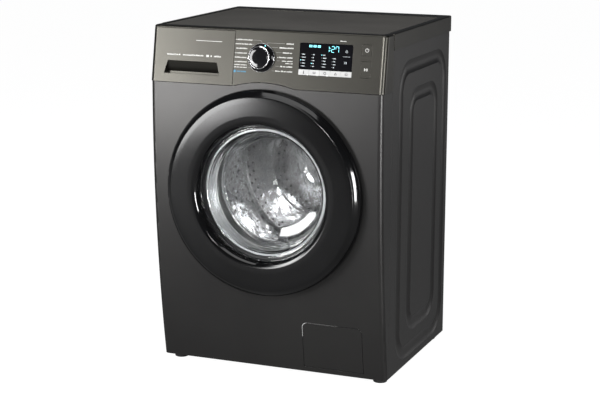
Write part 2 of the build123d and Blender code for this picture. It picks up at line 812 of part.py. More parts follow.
def tub_front():
    """Front half of the tub with the collar that carries the gasket."""
    r = tub_r
    w = tub_wall
    m = tub_mouth_r
    y0 = tub_y0
    outline = [(m, y0 - tub_collar), (m + w, y0 - tub_collar), (m + w, y0), (r - 14, y0), (r, y0 + 14),
               (r, tub_split_y - 6), (r + 7, tub_split_y - 6), (r + 7, tub_split_y),
               (r - w, tub_split_y), (r - w, y0 + 16), (r - 16, y0 + w), (m, y0 + w)]
    tub = turned(outline)
    # water inlet below the dispenser
    ix, iy, iz = tub_inlet_place()
    low = iz - 80
    tub += rod_z(ix, iy, spout_r, low, iz) - rod_y(0, door_z, r - w / 2, y0, tub_split_y)
    return tub - rod_z(ix, iy, spout_bore, low, iz + 1)


def tub_rear():
    """Back half of the tub with the bearing hub, lugs and sump."""
    r = tub_r
    w = tub_wall
    y0 = tub_split_y
    y1 = tub_back_y
    outline = [(r - w, y0), (r + 7, y0), (r + 7, y0 + 6), (r, y0 + 6), (r, y1 - 12), (r - 12, y1),
               (hub_r, y1), (hub_r, y1 + hub_l), (bearing_r, y1 + hub_l), (bearing_r, y1 - w - 4),
               (hub_r, y1 - w - 4), (hub_r + 6, y1 - w), (r - 14, y1 - w), (r - w, y1 - 14)]
    tub = turned(outline)
    # ribs on the back wall
    for turn in range(8):
        rib = block(hub_r + 2, r - 20, y1 - 1, y1 + 10, -2, 2)
        tub += Pos(0, 0, door_z) * Rot(0, 45 * turn + 22.5, 0) * rib
    # lugs for the springs and dampers
    hollow = rod_y(0, door_z, r - w / 2, y0, y1)
    for sx in (-1, 1):
        x = sx * lug_x
        lug = block(x - 10, x + 10, spring_y - 8, spring_y + 8, lug_z - 65, lug_z)
        x = sx * damper_x
        top = door_z - math.sqrt(r ** 2 - (damper_x + 10) ** 2) + 25
        foot_lug = block(x - 10, x + 10, damper_y - 10, damper_y + 10, damper_top_z + 30, top)
        tub += (lug - hollow) + (foot_lug - hollow)
    # motor bosses
    for sx in (-1, 1):
        x = sx * mount_x
        boss = block(x - 12, x + 12, tub_back_y - 100, tub_back_y - 30, motor_z + motor_r - 5,
                     door_z - tub_r + 52)
        tub += boss - hollow
    # sump outlet
    sx, sy, sz = sump_place()
    top = sz + 50
    stub = rod_z(sx, sy, hose_r, sz, top) - rod_y(0, door_z, r - w / 2, y0 - 90, y1)
    tub += stub
    tub -= rod_z(sx, sy, hose_bore, sz - 1, top)
    return tub - heater_slot(slip / 2)


def sump_place():
    return (70, tub_split_y + 60, door_z - tub_r - 12)


def tub_inlet_place():
    sx, sy, sz = spout_place()
    edge = abs(sx) - bellows_r
    return (sx, sy, door_z + math.sqrt(tub_r ** 2 - edge ** 2) + 0.1)


def front_counterweight():
    """Concrete ring bolted to the front of the tub."""
    y1 = tub_y0
    ring = tube_y(0, door_z, weight_r0, weight_r1, y1 - weight_t, y1)
    ring -= block(-60, 60, y1 - weight_t - 1, y1 + 1, door_z - 300, door_z - 100)
    return ring


def top_counterweight():
    """Concrete block saddled on the tub."""
    y0 = spring_y + brace_w
    block_top = door_z + tub_r + top_weight_h
    half = top_weight_w / 2
    weight = block(-half, half, y0, y0 + top_weight_l, door_z + tub_r - 52, block_top)
    weight = fillet(weight.edges().filter_by(Axis.Z), 8)
    return weight - rod_y(0, door_z, tub_r, y0 - 1, y0 + top_weight_l + 1)


def motor_housing():
    """Motor casing hung below the tub, open where the rotor turns."""
    y1 = motor_y1
    y0 = y1 - motor_l
    case = tube_y(0, motor_z, motor_r - 5, motor_r, y0, y1)
    case += tube_y(0, motor_z, motor_shaft_r + run, motor_r, y0 - 5, y0)
    case += tube_y(0, motor_z, motor_shaft_r + run, motor_r, y1, y1 + 5)
    for sx in (-1, 1):
        x = sx * mount_x
        case += block(x - 10, x + 10, tub_back_y - 95, tub_back_y - 35, motor_z + motor_r - 27,
                      motor_z + motor_r - 5) - rod_y(0, motor_z, motor_r - 1, y0, y1)
    return case


def motor_rotor():
    """Rotor, its shaft and the small ribbed pulley."""
    y1 = motor_y1
    y0 = y1 - motor_l
    rotor = rod_y(0, motor_z, motor_r - 8, y0 + 15, y1 - 15)
    rotor += rod_y(0, motor_z, motor_shaft_r, y0 - 12, pulley_y + pulley_w + 4)
    rotor += rod_y(0, motor_z, motor_pulley_r, pulley_y, pulley_y + pulley_w)
    for y in (pulley_y - 1.5, pulley_y + pulley_w):
        rotor += rod_y(0, motor_z, motor_pulley_r + 2.5, y, y + 1.5)
    return rotor


def belt_loop(r_top, r_bottom, y0, y1):
    """Solid bounded by the two pulley circles and their tangents."""
    span = door_z - motor_z
    tilt = math.asin((r_top - r_bottom) / span)
    cos_t = math.cos(tilt)
    sin_t = math.sin(tilt)
    flank = [(r_top * cos_t, door_z - r_top * sin_t), (r_bottom * cos_t, motor_z - r_bottom * sin_t)]
    sides = Polyline(flank[0], flank[1], (-flank[1][0], flank[1][1]), (-flank[0][0], flank[0][1]),
                     close=True)
    body = slab_y(y0, y1, make_face(sides))
    return body + rod_y(0, door_z, r_top, y0, y1) + rod_y(0, motor_z, r_bottom, y0, y1)


def drive_belt():
    y0 = pulley_y + 1
    y1 = pulley_y + pulley_w - 1
    outer = belt_loop(pulley_r + air + belt_t, motor_pulley_r + air + belt_t, y0, y1)
    inner = belt_loop(pulley_r + air, motor_pulley_r + air, y0 - 1, y1 + 1)
    return outer - inner


def drum_bearings():
    """Two ball bearings pressed into the hub, as plain rings."""
    rings = []
    end = tub_back_y + hub_l
    start = tub_back_y - tub_wall - 4
    for y in (start, end - bearing_w):
        rings.append(tube_y(0, door_z, shaft_r + run, bearing_r, y, y + bearing_w).solid())
    return Compound(children=rings)


def heater_element():
    """Hairpin heater lying in the bottom of the tub behind the drum."""
    z = heater_z()
    y0 = tub_split_y + 10
    y1 = tub_back_y - 2
    path = FilletPolyline((-14, y1, z), (-14, y0, z), (14, y0, z), (14, y1, z), radius=12)
    section = Plane(origin=path @ 0, z_dir=path % 0) * Circle(3)
    heater = sweep(section, path=path) - block(-24, 24, y1 - 4, y1 + 1, z - 8, z + 9)
    heater += heater_slot(0)
    return heater + block(-24, 24, tub_back_y, tub_back_y + 4, z - 8, z + 9)


def heater_z():
    return door_z - tub_r + tub_wall + 6.5


def heater_slot(grow):
    """Plug of the heater through the tub's back wall, or its hole when grown."""
    z = heater_z()
    return block(-19 - grow, 19 + grow, tub_back_y - tub_wall - 14, tub_back_y, z - 5 - grow, z + 6 + grow)


def sump_hose():
    """Bellows hose from the tub's outlet to the pump."""
    sx, sy, sz = sump_place()
    px, py, pz = pump_hose_place()
    path = Spline((sx, sy, sz - air), (px, py, pz + air), tangents=((0, 0, -1), (0, 0, -1)))
    outer = sweep(Plane(origin=path @ 0, z_dir=path % 0) * Circle(hose_r), path=path)
    inner = sweep(Plane(origin=path @ 0, z_dir=path % 0) * Circle(hose_bore), path=path)
    return outer - inner


def dispenser_hose():
    """Bellows hose from the dispenser's spout to the tub."""
    sx, sy, sz = spout_place()
    ix, iy, iz = tub_inlet_place()
    outer = rod_z(ix, iy, bellows_r, iz + air, sz - air)
    return outer - rod_z(ix, iy, spout_bore, iz, sz)


def suspension_springs():
    """Two coil springs between the brace and the tub's lugs, drawn as close-wound sleeves."""
    springs = []
    z1 = brace_top() - brace_t
    for sx in (-1, 1):
        x = sx * lug_x
        coil = rod_z(x, spring_y, spring_r, lug_z + 16, z1 - spring_hook + 2)
        coil -= rod_z(x, spring_y, spring_r - 2 * spring_wire, lug_z + 20, z1 - spring_hook - 2)
        coil += rod_z(x, spring_y, 2 * spring_wire, lug_z + air, lug_z + 18)
        coil += rod_z(x, spring_y, 2 * spring_wire, z1 - spring_hook, z1 - air)
        springs.append(coil.solid())
    return Compound(children=springs)


def damper_rods():
    rods = []
    for sx in (-1, 1):
        x = sx * damper_x
        piston_z = pan_z + damper_base + 50
        rod = rod_z(x, damper_y, damper_rod_r, piston_z, damper_top_z + 30)
        rod += rod_z(x, damper_y, damper_r - 4, piston_z - 6, piston_z + 6)
        rods.append(rod.solid())
    return Compound(children=rods)


# ---------------------------------------------------------------- drum

def drum_shell():
    """Open drum with a rolled mouth and a dished back."""
    r = drum_r
    w = drum_wall
    m = drum_mouth_r
    y0 = drum_y0
    y1 = drum_back_y
    outline = [(m, y0 + 6), (m, y0), (m + w, y0), (m + w, y0 + 2), (r - 20, y0 + 2), (r, y0 + 20),
               (r, y1 - 8), (r - 8, y1), (0, y1), (0, y1 - w), (r - 9, y1 - w), (r - w, y1 - 9),
               (r - w, y0 + 21), (r - 21, y0 + 2 + w), (m + w, y0 + 2 + w), (m + w, y0 + 6)]
    return turned(outline)


def drum_lifters():
    """Three hollow paddles along the drum's wall."""
    lifters = []
    y0 = drum_y0 + 26
    y1 = drum_back_y - 16
    for turn in range(3):
        base = drum_r - drum_wall - 1
        outline = Polyline((-lifter_w / 2, -base + 4), (-8, -base + lifter_h), (8, -base + lifter_h),
                           (lifter_w / 2, -base + 4), close=True)
        paddle = slab_y(y0, y1, make_face(outline))
        paddle += block(-lifter_w / 2, lifter_w / 2, y0, y1, -base - 2, -base + 4)
        paddle = paddle & rod_y(0, 0, drum_r - drum_wall, y0, y1)
        half = lifter_w / 2 - 5
        crest = lifter_h - base - 4
        hollow = Polyline((-half, -base - 5), (-7, crest), (7, crest), (half, -base - 5), close=True)
        paddle -= slab_y(y0 + 4, y1 - 4, make_face(hollow))
        lifters.append((Pos(0, 0, door_z) * Rot(0, 120 * turn, 0) * paddle).solid())
    return Compound(children=lifters)


def drum_spider():
    """Cast three-arm spider on the back of the drum."""
    y0 = drum_back_y
    spider = rod_y(0, 0, shaft_r + 27.5, y0, y0 + 11)
    for turn in range(3):
        arm = block(-16, 16, y0, y0 + 11, 0, drum_r - 12)
        spider += Rot(0, 120 * turn + 60, 0) * arm
    spider = Pos(0, 0, door_z) * spider
    return spider - rod_y(0, door_z, shaft_r, y0 - 1, y0 + 20)


def drum_shaft():
    return rod_y(0, door_z, shaft_r, drum_back_y, pulley_y + pulley_w + 3)


def drum_pulley():
    """Large pulley with a rim, a web and five windows."""
    y0 = pulley_y
    y1 = pulley_y + pulley_w
    rim = tube_y(0, door_z, pulley_r - 8, pulley_r, y0, y1)
    web = tube_y(0, door_z, shaft_r, pulley_r - 6, y0 + 4, y0 + 8)
    hub = tube_y(0, door_z, shaft_r, shaft_r + 13.5, y0, y1)
    pulley = rim + web + hub
    for turn in range(5):
        window = Pos((pulley_r + shaft_r) / 2 + 6, y0 + 6, 0) * Rot(90, 0, 0) * Cylinder(30, 20)
        pulley -= Pos(0, 0, door_z) * Rot(0, 72 * turn, 0) * window
    return pulley


# ---------------------------------------------------------------- door

def door_ring():
    """Outer ring of the door: front face, shoulder, skirt and inner slope."""
    y0 = door_front_y
    t = ring_t
    outline = [(rim_r, glass_y), (lip_r, y0 + 3), (lip_r + 4, y0 + 0.6), (lip_r + 12, y0),
               (brow_r - 10, y0), (brow_r, y0 + 2), (ring_r, y0 + 2 + shoulder), (ring_r, dish_y),
               (ring_r - t, dish_y), (ring_r - t, y0 + 3 + shoulder), (brow_r - 1.5, y0 + 2 + t),
               (brow_r - 10, y0 + t), (lip_r + 12, y0 + t), (lip_r + t + 1, y0 + t + 3),
               (rim_r + t, glass_y)]
    ring = turned(outline)
    # the skirt follows the curved cover
    face = cover_solid(-door_gap, width, foot_gap, height, seam_y)
    skirt_zone = rod_y(0, door_z, ring_r + 5, front_y - 12, seam_y) - rod_y(0, door_z, brow_r, front_y - 13,
                                                                           seam_y)
    ring -= face & skirt_zone
    # beside the hinge pin the ring keeps only what swings clear of the cover
    left = block(-width / 2, hinge_x, front_y - 60, seam_y, door_z - ring_r, door_z + ring_r)
    ring -= left - rod_z(hinge_x, hinge_y, swing_r, door_z - ring_r - 5, door_z + ring_r + 5)
    for sz in (-1, 1):
        middle = door_z + sz * (knuckle_h / 2 + 1 + ear_t / 2)
        ring -= block(-width / 2, hinge_x + 5, hinge_y - 2, seam_y, middle - ear_t / 2 - 1.5,
                      middle + ear_t / 2 + 1.5)
    # finger grip behind the right edge
    far = 2 * ring_r
    rise = far * math.tan(math.radians(grip_angle))
    wedge = make_face(Polyline((0, door_z), (far, door_z + rise), (far, door_z - rise), close=True))
    behind = tube_y(0, door_z, brow_r, ring_r + 5, grip_y, seam_y)
    return ring - (behind & slab_y(front_y - 60, seam_y, wedge))


def door_inner_frame():
    """Back of the door: the ring that clamps the glass and closes the shell."""
    y0 = glass_y + glass_t
    y1 = frame_back_y
    seat_y = door_front_y + ring_t
    floor_y = y1 - frame_t
    outline = [(rim_r - 5, y0), (rim_r + 8, y0), (rim_r + 8, floor_y), (frame_r - 3, floor_y),
               (frame_r - 3, seat_y), (frame_r, seat_y), (frame_r, y1), (rim_r + 1, y1), (rim_r - 5, y1 - 6)]
    frame = turned(outline)
    frame -= block(-width / 2, -rim_r - 12, front_y - 60, seam_y, door_z - 52, door_z + 52)
    # mouth for the hook between two lugs with its pin bore
    half = hook_w / 2 + 3
    frame -= block(hook_x - 9, hook_x + 9, front_y - 60, seam_y, door_z - half, door_z + half)
    for sz in (-1, 1):
        zs = sorted((door_z + sz * half, door_z + sz * (half + lug_t)))
        frame += block(hook_x - 5, hook_x + 7, hook_pin_y - 6, floor_y + 1, zs[0], zs[1])
    far = half + lug_t + 1
    return frame - rod_z(hook_x + 1, hook_pin_y, hook_pin_r + run, door_z - far, door_z + far)


def door_glass():
    """Bowl glass with a flange between ring and frame."""
    y0 = glass_y
    t = glass_t
    rim = rim_r + 2.6
    outline = [(rim, y0), (rim, y0 + t), (bowl_r + 4, y0 + t), (bowl_r - 4, y0 + bowl_depth - 22),
               (bowl_r - 22, y0 + bowl_depth), (0, y0 + bowl_depth + 4), (0, y0 + bowl_depth + 4 - t),
               (bowl_r - 24, y0 + bowl_depth - t), (bowl_r - 4 - t, y0 + bowl_depth - 24),
               (bowl_r - t, y0)]
    return turned(outline)


def door_hinge_arm():
    """Cast arm on the door with the knuckle around the hinge pin."""
    half = knuckle_h / 2
    knuckle = Pos(hinge_x, hinge_y) * Circle(knuckle_r)
    seat_y = door_front_y + ring_t
    strap = make_face(Polyline((hinge_x, hinge_y - 3), (hinge_x + 8, seat_y), (hinge_x + 44, seat_y),
                               (hinge_x + 44, seat_y + 5), (hinge_x + 14, seat_y + 5),
                               (hinge_x + 8, hinge_y + 3), (hinge_x, hinge_y + 3), close=True))
    arm = Pos(0, 0, door_z - half) * extrude(knuckle + strap, amount=knuckle_h)
    return arm - rod_z(hinge_x, hinge_y, hinge_pin_r + run, door_z - half - 1, door_z + half + 1)


def door_hook():
    """Sprung latch hook on a short pin."""
    x = hook_x
    y = hook_pin_y
    half = hook_w / 2
    hook = block(x - 3, x + 5, y - 4, y + hook_l, door_z - half, door_z + half)
    hook += block(x - 8, x + 5, y + hook_l - 6, y + hook_l, door_z - half, door_z + half)
    reach = half + 3 + lug_t
    return hook + rod_z(x + 1, y, hook_pin_r, door_z - reach, door_z + reach)


# ---------------------------------------------------------------- drawer

def drawer_front():
    """Front of the drawer: the left part of the fascia, with the pull recess."""
    zone = block(-fascia_x - 5, drawer_x1, front_y - 50, drawer_return_y, fascia_z, height - top_r - seam)
    outer = fascia_shell(0) & zone
    outer = outer & on_face(0, 60, 3 * width, 500, 0, -60, 60)
    core = fascia_shell(skin) & block(-fascia_x + skin, drawer_x1 - skin, front_y - 50, drawer_return_y + 1,
                                      fascia_z + skin, height - top_r - seam - skin)
    front = outer - core
    # trim the back of the box, leaving the wrapped left corner
    back = on_face(0, 60, 3 * width, 500, 0, -60, -drawer_t)
    front -= back & block(-fascia_x + skin + 4, width, front_y - 50, seam_y, 0, height)
    bowl = pull_form(pull_wall)
    front += bowl & on_face(0, 60, 3 * width, 500, 0, -30, 0)
    return front - pull_form(0)


def pull_form(grow):
    """Scoop that deepens downwards, with an undercut below."""
    top = pull_top + grow
    low = pull_bottom - grow
    floor = -pull_depth - grow
    profile = make_face(Polyline((top, 0.5), (low, 0.5), (low, -3), (low - 4, -5), (low - 4, floor),
                                 (low + 6, floor), close=True))
    # profile is drawn as (height up the face, depth)
    span = extrude(profile, amount=width, both=True)
    frame = face_plane()
    place = Plane(origin=frame.origin, x_dir=frame.y_dir, z_dir=frame.x_dir)
    scoop = place * span
    half_top = pull_w_top / 2 + grow
    half_low = pull_w_bottom / 2 + grow
    sides = make_face(Polyline((-half_top, pull_top), (half_top, pull_top), (half_low, pull_bottom),
                               (half_low, pull_bottom - 8), (-half_low, pull_bottom - 8),
                               (-half_low, pull_bottom), close=True))
    sides = extrude(sides, amount=60, both=True)
    return scoop & (frame * Pos(pull_x, 0, 0) * sides)


def drawer_tray():
    """Detergent tray with three compartments."""
    x0 = tray_x - tray_w / 2
    x1 = tray_x + tray_w / 2
    y0 = tray_y
    y1 = tray_back_y
    z0 = tray_z
    z1 = tray_z + tray_h
    w = tray_wall
    tray = block(x0, x1, y0, y1, z0, z1)
    for ca, cb in tray_cells(x0, x1):
        tray -= block(ca, cb, y0 + tray_solid, y1 - w, z0 + w, z1 + 1)
    # the front lies against the back of the pull recess
    return tray & on_face(0, 60, 3 * width, 900, 0, -500, -pull_depth - pull_wall)


def tray_cells(x0, x1):
    """Two wide cells and a narrow one, side by side."""
    wide = (x1 - x0) * 0.36
    w = tray_wall
    return [(x0 + w, x0 + wide), (x0 + wide + w, x0 + 2 * wide), (x0 + 2 * wide + w, x1 - w)]


# ---------------------------------------------------------------- build

def main():
    os.makedirs("parts", exist_ok=True)
    parts = {
        "left_side_panel": side_panel(-1),
        "right_side_panel": side_panel(1),
        "front_panel": front_panel(),
        "rear_panel": rear_panel(),
        "rear_service_cover": rear_service_cover(),
        "top_frame": top_frame(),
        "top_panel": top_panel(),
        "base_pan": base_pan(),
        "cross_braces": cross_braces(),
        "control_fascia": control_fascia(),
        "display_window": display_window(),
        "control_board": control_board(),
        "knob_bezel": knob_bezel(),
        "dispenser_housing": dispenser_housing(),
        "inlet_valve": inlet_valve(),
        "drain_pump": drain_pump(),
        "foot_lock_nuts": foot_lock_nuts(),
        "door_hinge_bracket": door_hinge_bracket(),
        "door_lock": door_lock(),
        "door_gasket": door_gasket(),
        "damper_cylinders": damper_cylinders(),
        "tub_front": tub_front(),
        "tub_rear": tub_rear(),
        "front_counterweight": front_counterweight(),
        "top_counterweight": top_counterweight(),
        "motor_housing": motor_housing(),
        "drive_belt": drive_belt(),
        "drum_bearings": drum_bearings(),
        "heater_element": heater_element(),
        "sump_hose": sump_hose(),
        "dispenser_hose": dispenser_hose(),
        "suspension_springs": suspension_springs(),
        "damper_rods": damper_rods(),
        "drum_shell": drum_shell(),
        "drum_lifters": drum_lifters(),
        "drum_spider": drum_spider(),
        "drum_shaft": drum_shaft(),
        "drum_pulley": drum_pulley(),
        "motor_rotor": motor_rotor(),
        "door_ring": door_ring(),
        "door_inner_frame": door_inner_frame(),
        "door_glass": door_glass(),
        "door_hinge_arm": door_hinge_arm(),
        "door_hook": door_hook(),
        "drawer_front": drawer_front(),
        "drawer_tray": drawer_tray(),
        "program_knob": program_knob(),
        "filter_hatch": filter_hatch(),
        "drain_filter": drain_filter(),
    }
    names = [f"option_button_{i + 1}" for i in range(key_count)] + ["power_button", "start_button"]
    for name, place in zip(names, button_places()):
        parts[name] = button(*place)
    for name, place in zip(("front_left", "front_right", "rear_left", "rear_right"), foot_places()):
        parts[f"{name}_foot"] = foot(*place)
    for name, part in parts.items():
        export_step(part, f"parts/{name}.step")
        print(f"{name}: {len(part.solids())} solid(s), {part.volume / 1000:.1f} cm3")


main()
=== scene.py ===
import json
import math
import bpy
from mathutils import Matrix, Vector

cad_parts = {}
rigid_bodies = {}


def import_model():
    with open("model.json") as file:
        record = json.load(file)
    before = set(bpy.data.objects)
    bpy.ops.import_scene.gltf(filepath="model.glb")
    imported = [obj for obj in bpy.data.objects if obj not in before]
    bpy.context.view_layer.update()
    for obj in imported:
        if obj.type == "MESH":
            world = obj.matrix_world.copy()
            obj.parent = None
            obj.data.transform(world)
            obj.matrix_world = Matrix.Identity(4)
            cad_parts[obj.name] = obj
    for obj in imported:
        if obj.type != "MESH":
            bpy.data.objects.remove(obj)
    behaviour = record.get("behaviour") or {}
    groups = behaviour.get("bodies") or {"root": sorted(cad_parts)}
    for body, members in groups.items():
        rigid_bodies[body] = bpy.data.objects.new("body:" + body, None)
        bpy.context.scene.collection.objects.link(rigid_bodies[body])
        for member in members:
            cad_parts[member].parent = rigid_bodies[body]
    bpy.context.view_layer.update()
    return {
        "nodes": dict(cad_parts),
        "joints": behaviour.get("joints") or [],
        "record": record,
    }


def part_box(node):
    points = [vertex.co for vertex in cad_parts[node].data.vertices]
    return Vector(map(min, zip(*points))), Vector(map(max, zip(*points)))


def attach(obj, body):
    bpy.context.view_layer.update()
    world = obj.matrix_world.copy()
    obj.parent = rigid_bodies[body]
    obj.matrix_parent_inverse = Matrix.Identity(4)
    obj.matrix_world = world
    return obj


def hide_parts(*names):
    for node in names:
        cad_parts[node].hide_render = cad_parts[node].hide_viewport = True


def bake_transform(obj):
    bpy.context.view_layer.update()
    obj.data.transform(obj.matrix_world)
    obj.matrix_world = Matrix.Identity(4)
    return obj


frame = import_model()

nodes = frame["nodes"]
joints = {joint["name"]: joint for joint in frame["joints"]}
mm = 0.001


def span(node):
    # lowest corner, highest corner and middle of a CAD node
    low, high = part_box(node)
    return low, high, (low + high) / 2


doorZ = joints["drum_spin"]["pos_m"][2]     # height of the door's and the drum's middle
knobPlace = Vector(joints["knob_turn"]["pos_m"])
faceOut = Vector(joints["knob_turn"]["axis"]).normalized()
lean = math.asin(faceOut.z)                 # how far the control face leans back


# finishes: two shades that drift into each other, roughness range, grain size and height,
# for some a stretch of the pattern, a depth of the grain in mm, or a rounding of edges in mm
finishes = {
    "graphiteSteel": dict(dark=(0.044, 0.043, 0.043), light=(0.053, 0.052, 0.051), metal=0.88,
                          rough=(0.34, 0.40), grain=900, height=0.05, patch=3, edge=0.7),
    "graphiteFascia": dict(dark=(0.046, 0.044, 0.039), light=(0.057, 0.055, 0.048), metal=0.92,
                           rough=(0.28, 0.33), grain=1400, height=0.04, patch=4, edge=0.7),
    "topBoard": dict(dark=(0.094, 0.090, 0.082), light=(0.116, 0.111, 0.102), metal=0.1,
                     rough=(0.56, 0.66), grain=1600, height=0.12, patch=6),
    "galvanised": dict(dark=(0.30, 0.31, 0.32), light=(0.37, 0.38, 0.39), metal=0.9,
                       rough=(0.36, 0.48), grain=90, height=0.02, patch=75),
    "steel": dict(dark=(0.40, 0.40, 0.41), light=(0.55, 0.55, 0.56), metal=1.0,
                  rough=(0.22, 0.34), grain=700, height=0.05, patch=20, stretch=(1, 1, 12)),
    "stainless": dict(dark=(0.72, 0.72, 0.73), light=(0.86, 0.86, 0.87), metal=1.0,
                      rough=(0.12, 0.2), grain=500, height=0.03, patch=14, stretch=(1, 14, 1)),
    "castAlloy": dict(dark=(0.42, 0.43, 0.44), light=(0.58, 0.59, 0.60), metal=0.85,
                      rough=(0.42, 0.56), grain=900, height=0.25, patch=30),
    "blackGloss": dict(dark=(0.004, 0.004, 0.0045), light=(0.007, 0.007, 0.008), metal=0.0,
                       rough=(0.05, 0.1), grain=260, height=0.006, patch=10),
    "blackSatin": dict(dark=(0.011, 0.011, 0.012), light=(0.018, 0.018, 0.019), metal=0.0,
                       rough=(0.38, 0.5), grain=1800, height=0.1, patch=16),
    "silverKey": dict(dark=(0.40, 0.40, 0.40), light=(0.48, 0.48, 0.47), metal=0.3,
                      rough=(0.28, 0.36), grain=1500, height=0.05, patch=25),
    "greyRubber": dict(dark=(0.16, 0.165, 0.17), light=(0.23, 0.235, 0.24), metal=0.0,
                       rough=(0.5, 0.62), grain=1100, height=0.12, patch=18),
    "blackRubber": dict(dark=(0.010, 0.010, 0.010), light=(0.022, 0.022, 0.022), metal=0.0,
                        rough=(0.62, 0.8), grain=1200, height=0.2, patch=30),
    "tubPlastic": dict(dark=(0.36, 0.37, 0.36), light=(0.46, 0.47, 0.46), metal=0.0,
                       rough=(0.45, 0.58), grain=1000, height=0.12, patch=8),
    "whitePlastic": dict(dark=(0.66, 0.67, 0.66), light=(0.76, 0.76, 0.75), metal=0.0,
                         rough=(0.32, 0.44), grain=1200, height=0.06, patch=9),
    "concrete": dict(dark=(0.20, 0.195, 0.185), light=(0.36, 0.35, 0.33), metal=0.0,
                     rough=(0.78, 0.92), grain=420, height=0.6, patch=45),
    "circuitGreen": dict(dark=(0.010, 0.075, 0.030), light=(0.018, 0.11, 0.05), metal=0.0,
                         rough=(0.3, 0.42), grain=900, height=0.08, patch=120),
    "heaterSteel": dict(dark=(0.30, 0.27, 0.24), light=(0.46, 0.43, 0.40), metal=1.0,
                        rough=(0.3, 0.46), grain=700, height=0.08, patch=60),
    "chrome": dict(dark=(0.80, 0.80, 0.81), light=(0.90, 0.90, 0.91), metal=1.0,
                   rough=(0.05, 0.09), grain=400, height=0.01, patch=20),
    "printedWhite": dict(dark=(0.50, 0.50, 0.48), light=(0.62, 0.62, 0.60), metal=0.0,
                         rough=(0.4, 0.5), grain=1500, height=0.05, patch=60),
    "printedBlue": dict(dark=(0.010, 0.16, 0.30), light=(0.015, 0.20, 0.36), metal=0.0,
                        rough=(0.4, 0.5), grain=1500, height=0.05, patch=60),
    "printedDark": dict(dark=(0.02, 0.02, 0.022), light=(0.04, 0.04, 0.042), metal=0.0,
                        rough=(0.4, 0.5), grain=1500, height=0.05, patch=60),
    "printedGrey": dict(dark=(0.20, 0.20, 0.19), light=(0.26, 0.26, 0.25), metal=0.0,
                        rough=(0.4, 0.5), grain=1500, height=0.05, patch=60),
    "holeShadow": dict(dark=(0.004, 0.004, 0.004), light=(0.01, 0.01, 0.01), metal=0.0,
                       rough=(0.7, 0.9), grain=900, height=0.05, patch=60),
    "drumSteel": dict(dark=(0.70, 0.70, 0.71), light=(0.86, 0.86, 0.87), metal=1.0,
                      rough=(0.13, 0.2), grain=34, height=1.0, patch=14, depth=3.2),
    "darkWindow": dict(dark=(0.003, 0.003, 0.004), light=(0.005, 0.005, 0.006), metal=0.0,
                       rough=(0.05, 0.09), grain=200, height=0.004, patch=12),
}
made = {}


def link(tree, source, target):
    tree.links.new(source, target)


def noiseOf(tree, coords, scale, detail):
    noise = tree.nodes.new("ShaderNodeTexNoise")
    noise.inputs["Scale"].default_value = scale
    noise.inputs["Detail"].default_value = detail
    link(tree, coords, noise.inputs["Vector"])
    return noise.outputs["Fac"]


def objectCoords(tree, stretch=(1, 1, 1)):
    place = tree.nodes.new("ShaderNodeTexCoord")
    mapping = tree.nodes.new("ShaderNodeMapping")
    mapping.inputs["Scale"].default_value = stretch
    link(tree, place.outputs["Object"], mapping.inputs["Vector"])
    return mapping.outputs["Vector"]


def rangeOf(tree, value, low, high):
    # a noise value stretched to a range, its usual span taken as 0.3 to 0.7
    scale = tree.nodes.new("ShaderNodeMapRange")
    scale.inputs["From Min"].default_value = 0.3
    scale.inputs["From Max"].default_value = 0.7
    scale.inputs["To Min"].default_value = low
    scale.inputs["To Max"].default_value = high
    link(tree, value, scale.inputs["Value"])
    return scale.outputs["Result"]


def shades(tree, value, dark, light):
    # two colours that drift into each other over the middle of a noise
    ramp = tree.nodes.new("ShaderNodeValToRGB")
    ramp.color_ramp.elements[0].position = 0.35
    ramp.color_ramp.elements[1].position = 0.65
    ramp.color_ramp.elements[0].color = (*dark, 1)
    ramp.color_ramp.elements[1].color = (*light, 1)
    link(tree, value, ramp.inputs["Fac"])
    return ramp.outputs["Color"]


def finish(name):
    # a material made once from its settings
    if name in made:
        return made[name]
    look = finishes[name]
    material = bpy.data.materials.new(name)
    material.use_nodes = True
    tree = material.node_tree
    shader = tree.nodes["Principled BSDF"]
    coords = objectCoords(tree, look.get("stretch", (1, 1, 1)))
    patch = noiseOf(tree, coords, look["patch"], 4)
    link(tree, shades(tree, patch, look["dark"], look["light"]), shader.inputs["Base Color"])
    grain = noiseOf(tree, coords, look["grain"], 2)
    rough = rangeOf(tree, grain, *look["rough"])
    link(tree, rough, shader.inputs["Roughness"])
    bump = tree.nodes.new("ShaderNodeBump")
    bump.inputs["Strength"].default_value = look["height"]
    bump.inputs["Distance"].default_value = look.get("depth", 0.3) * mm
    link(tree, grain, bump.inputs["Height"])
    if "edge" in look:
        rounded = tree.nodes.new("ShaderNodeBevel")
        rounded.inputs["Radius"].default_value = look["edge"] * mm
        rounded.samples = 6
        link(tree, rounded.outputs["Normal"], bump.inputs["Normal"])
    link(tree, bump.outputs["Normal"], shader.inputs["Normal"])
    shader.inputs["Metallic"].default_value = look["metal"]
    made[name] = material
    return material


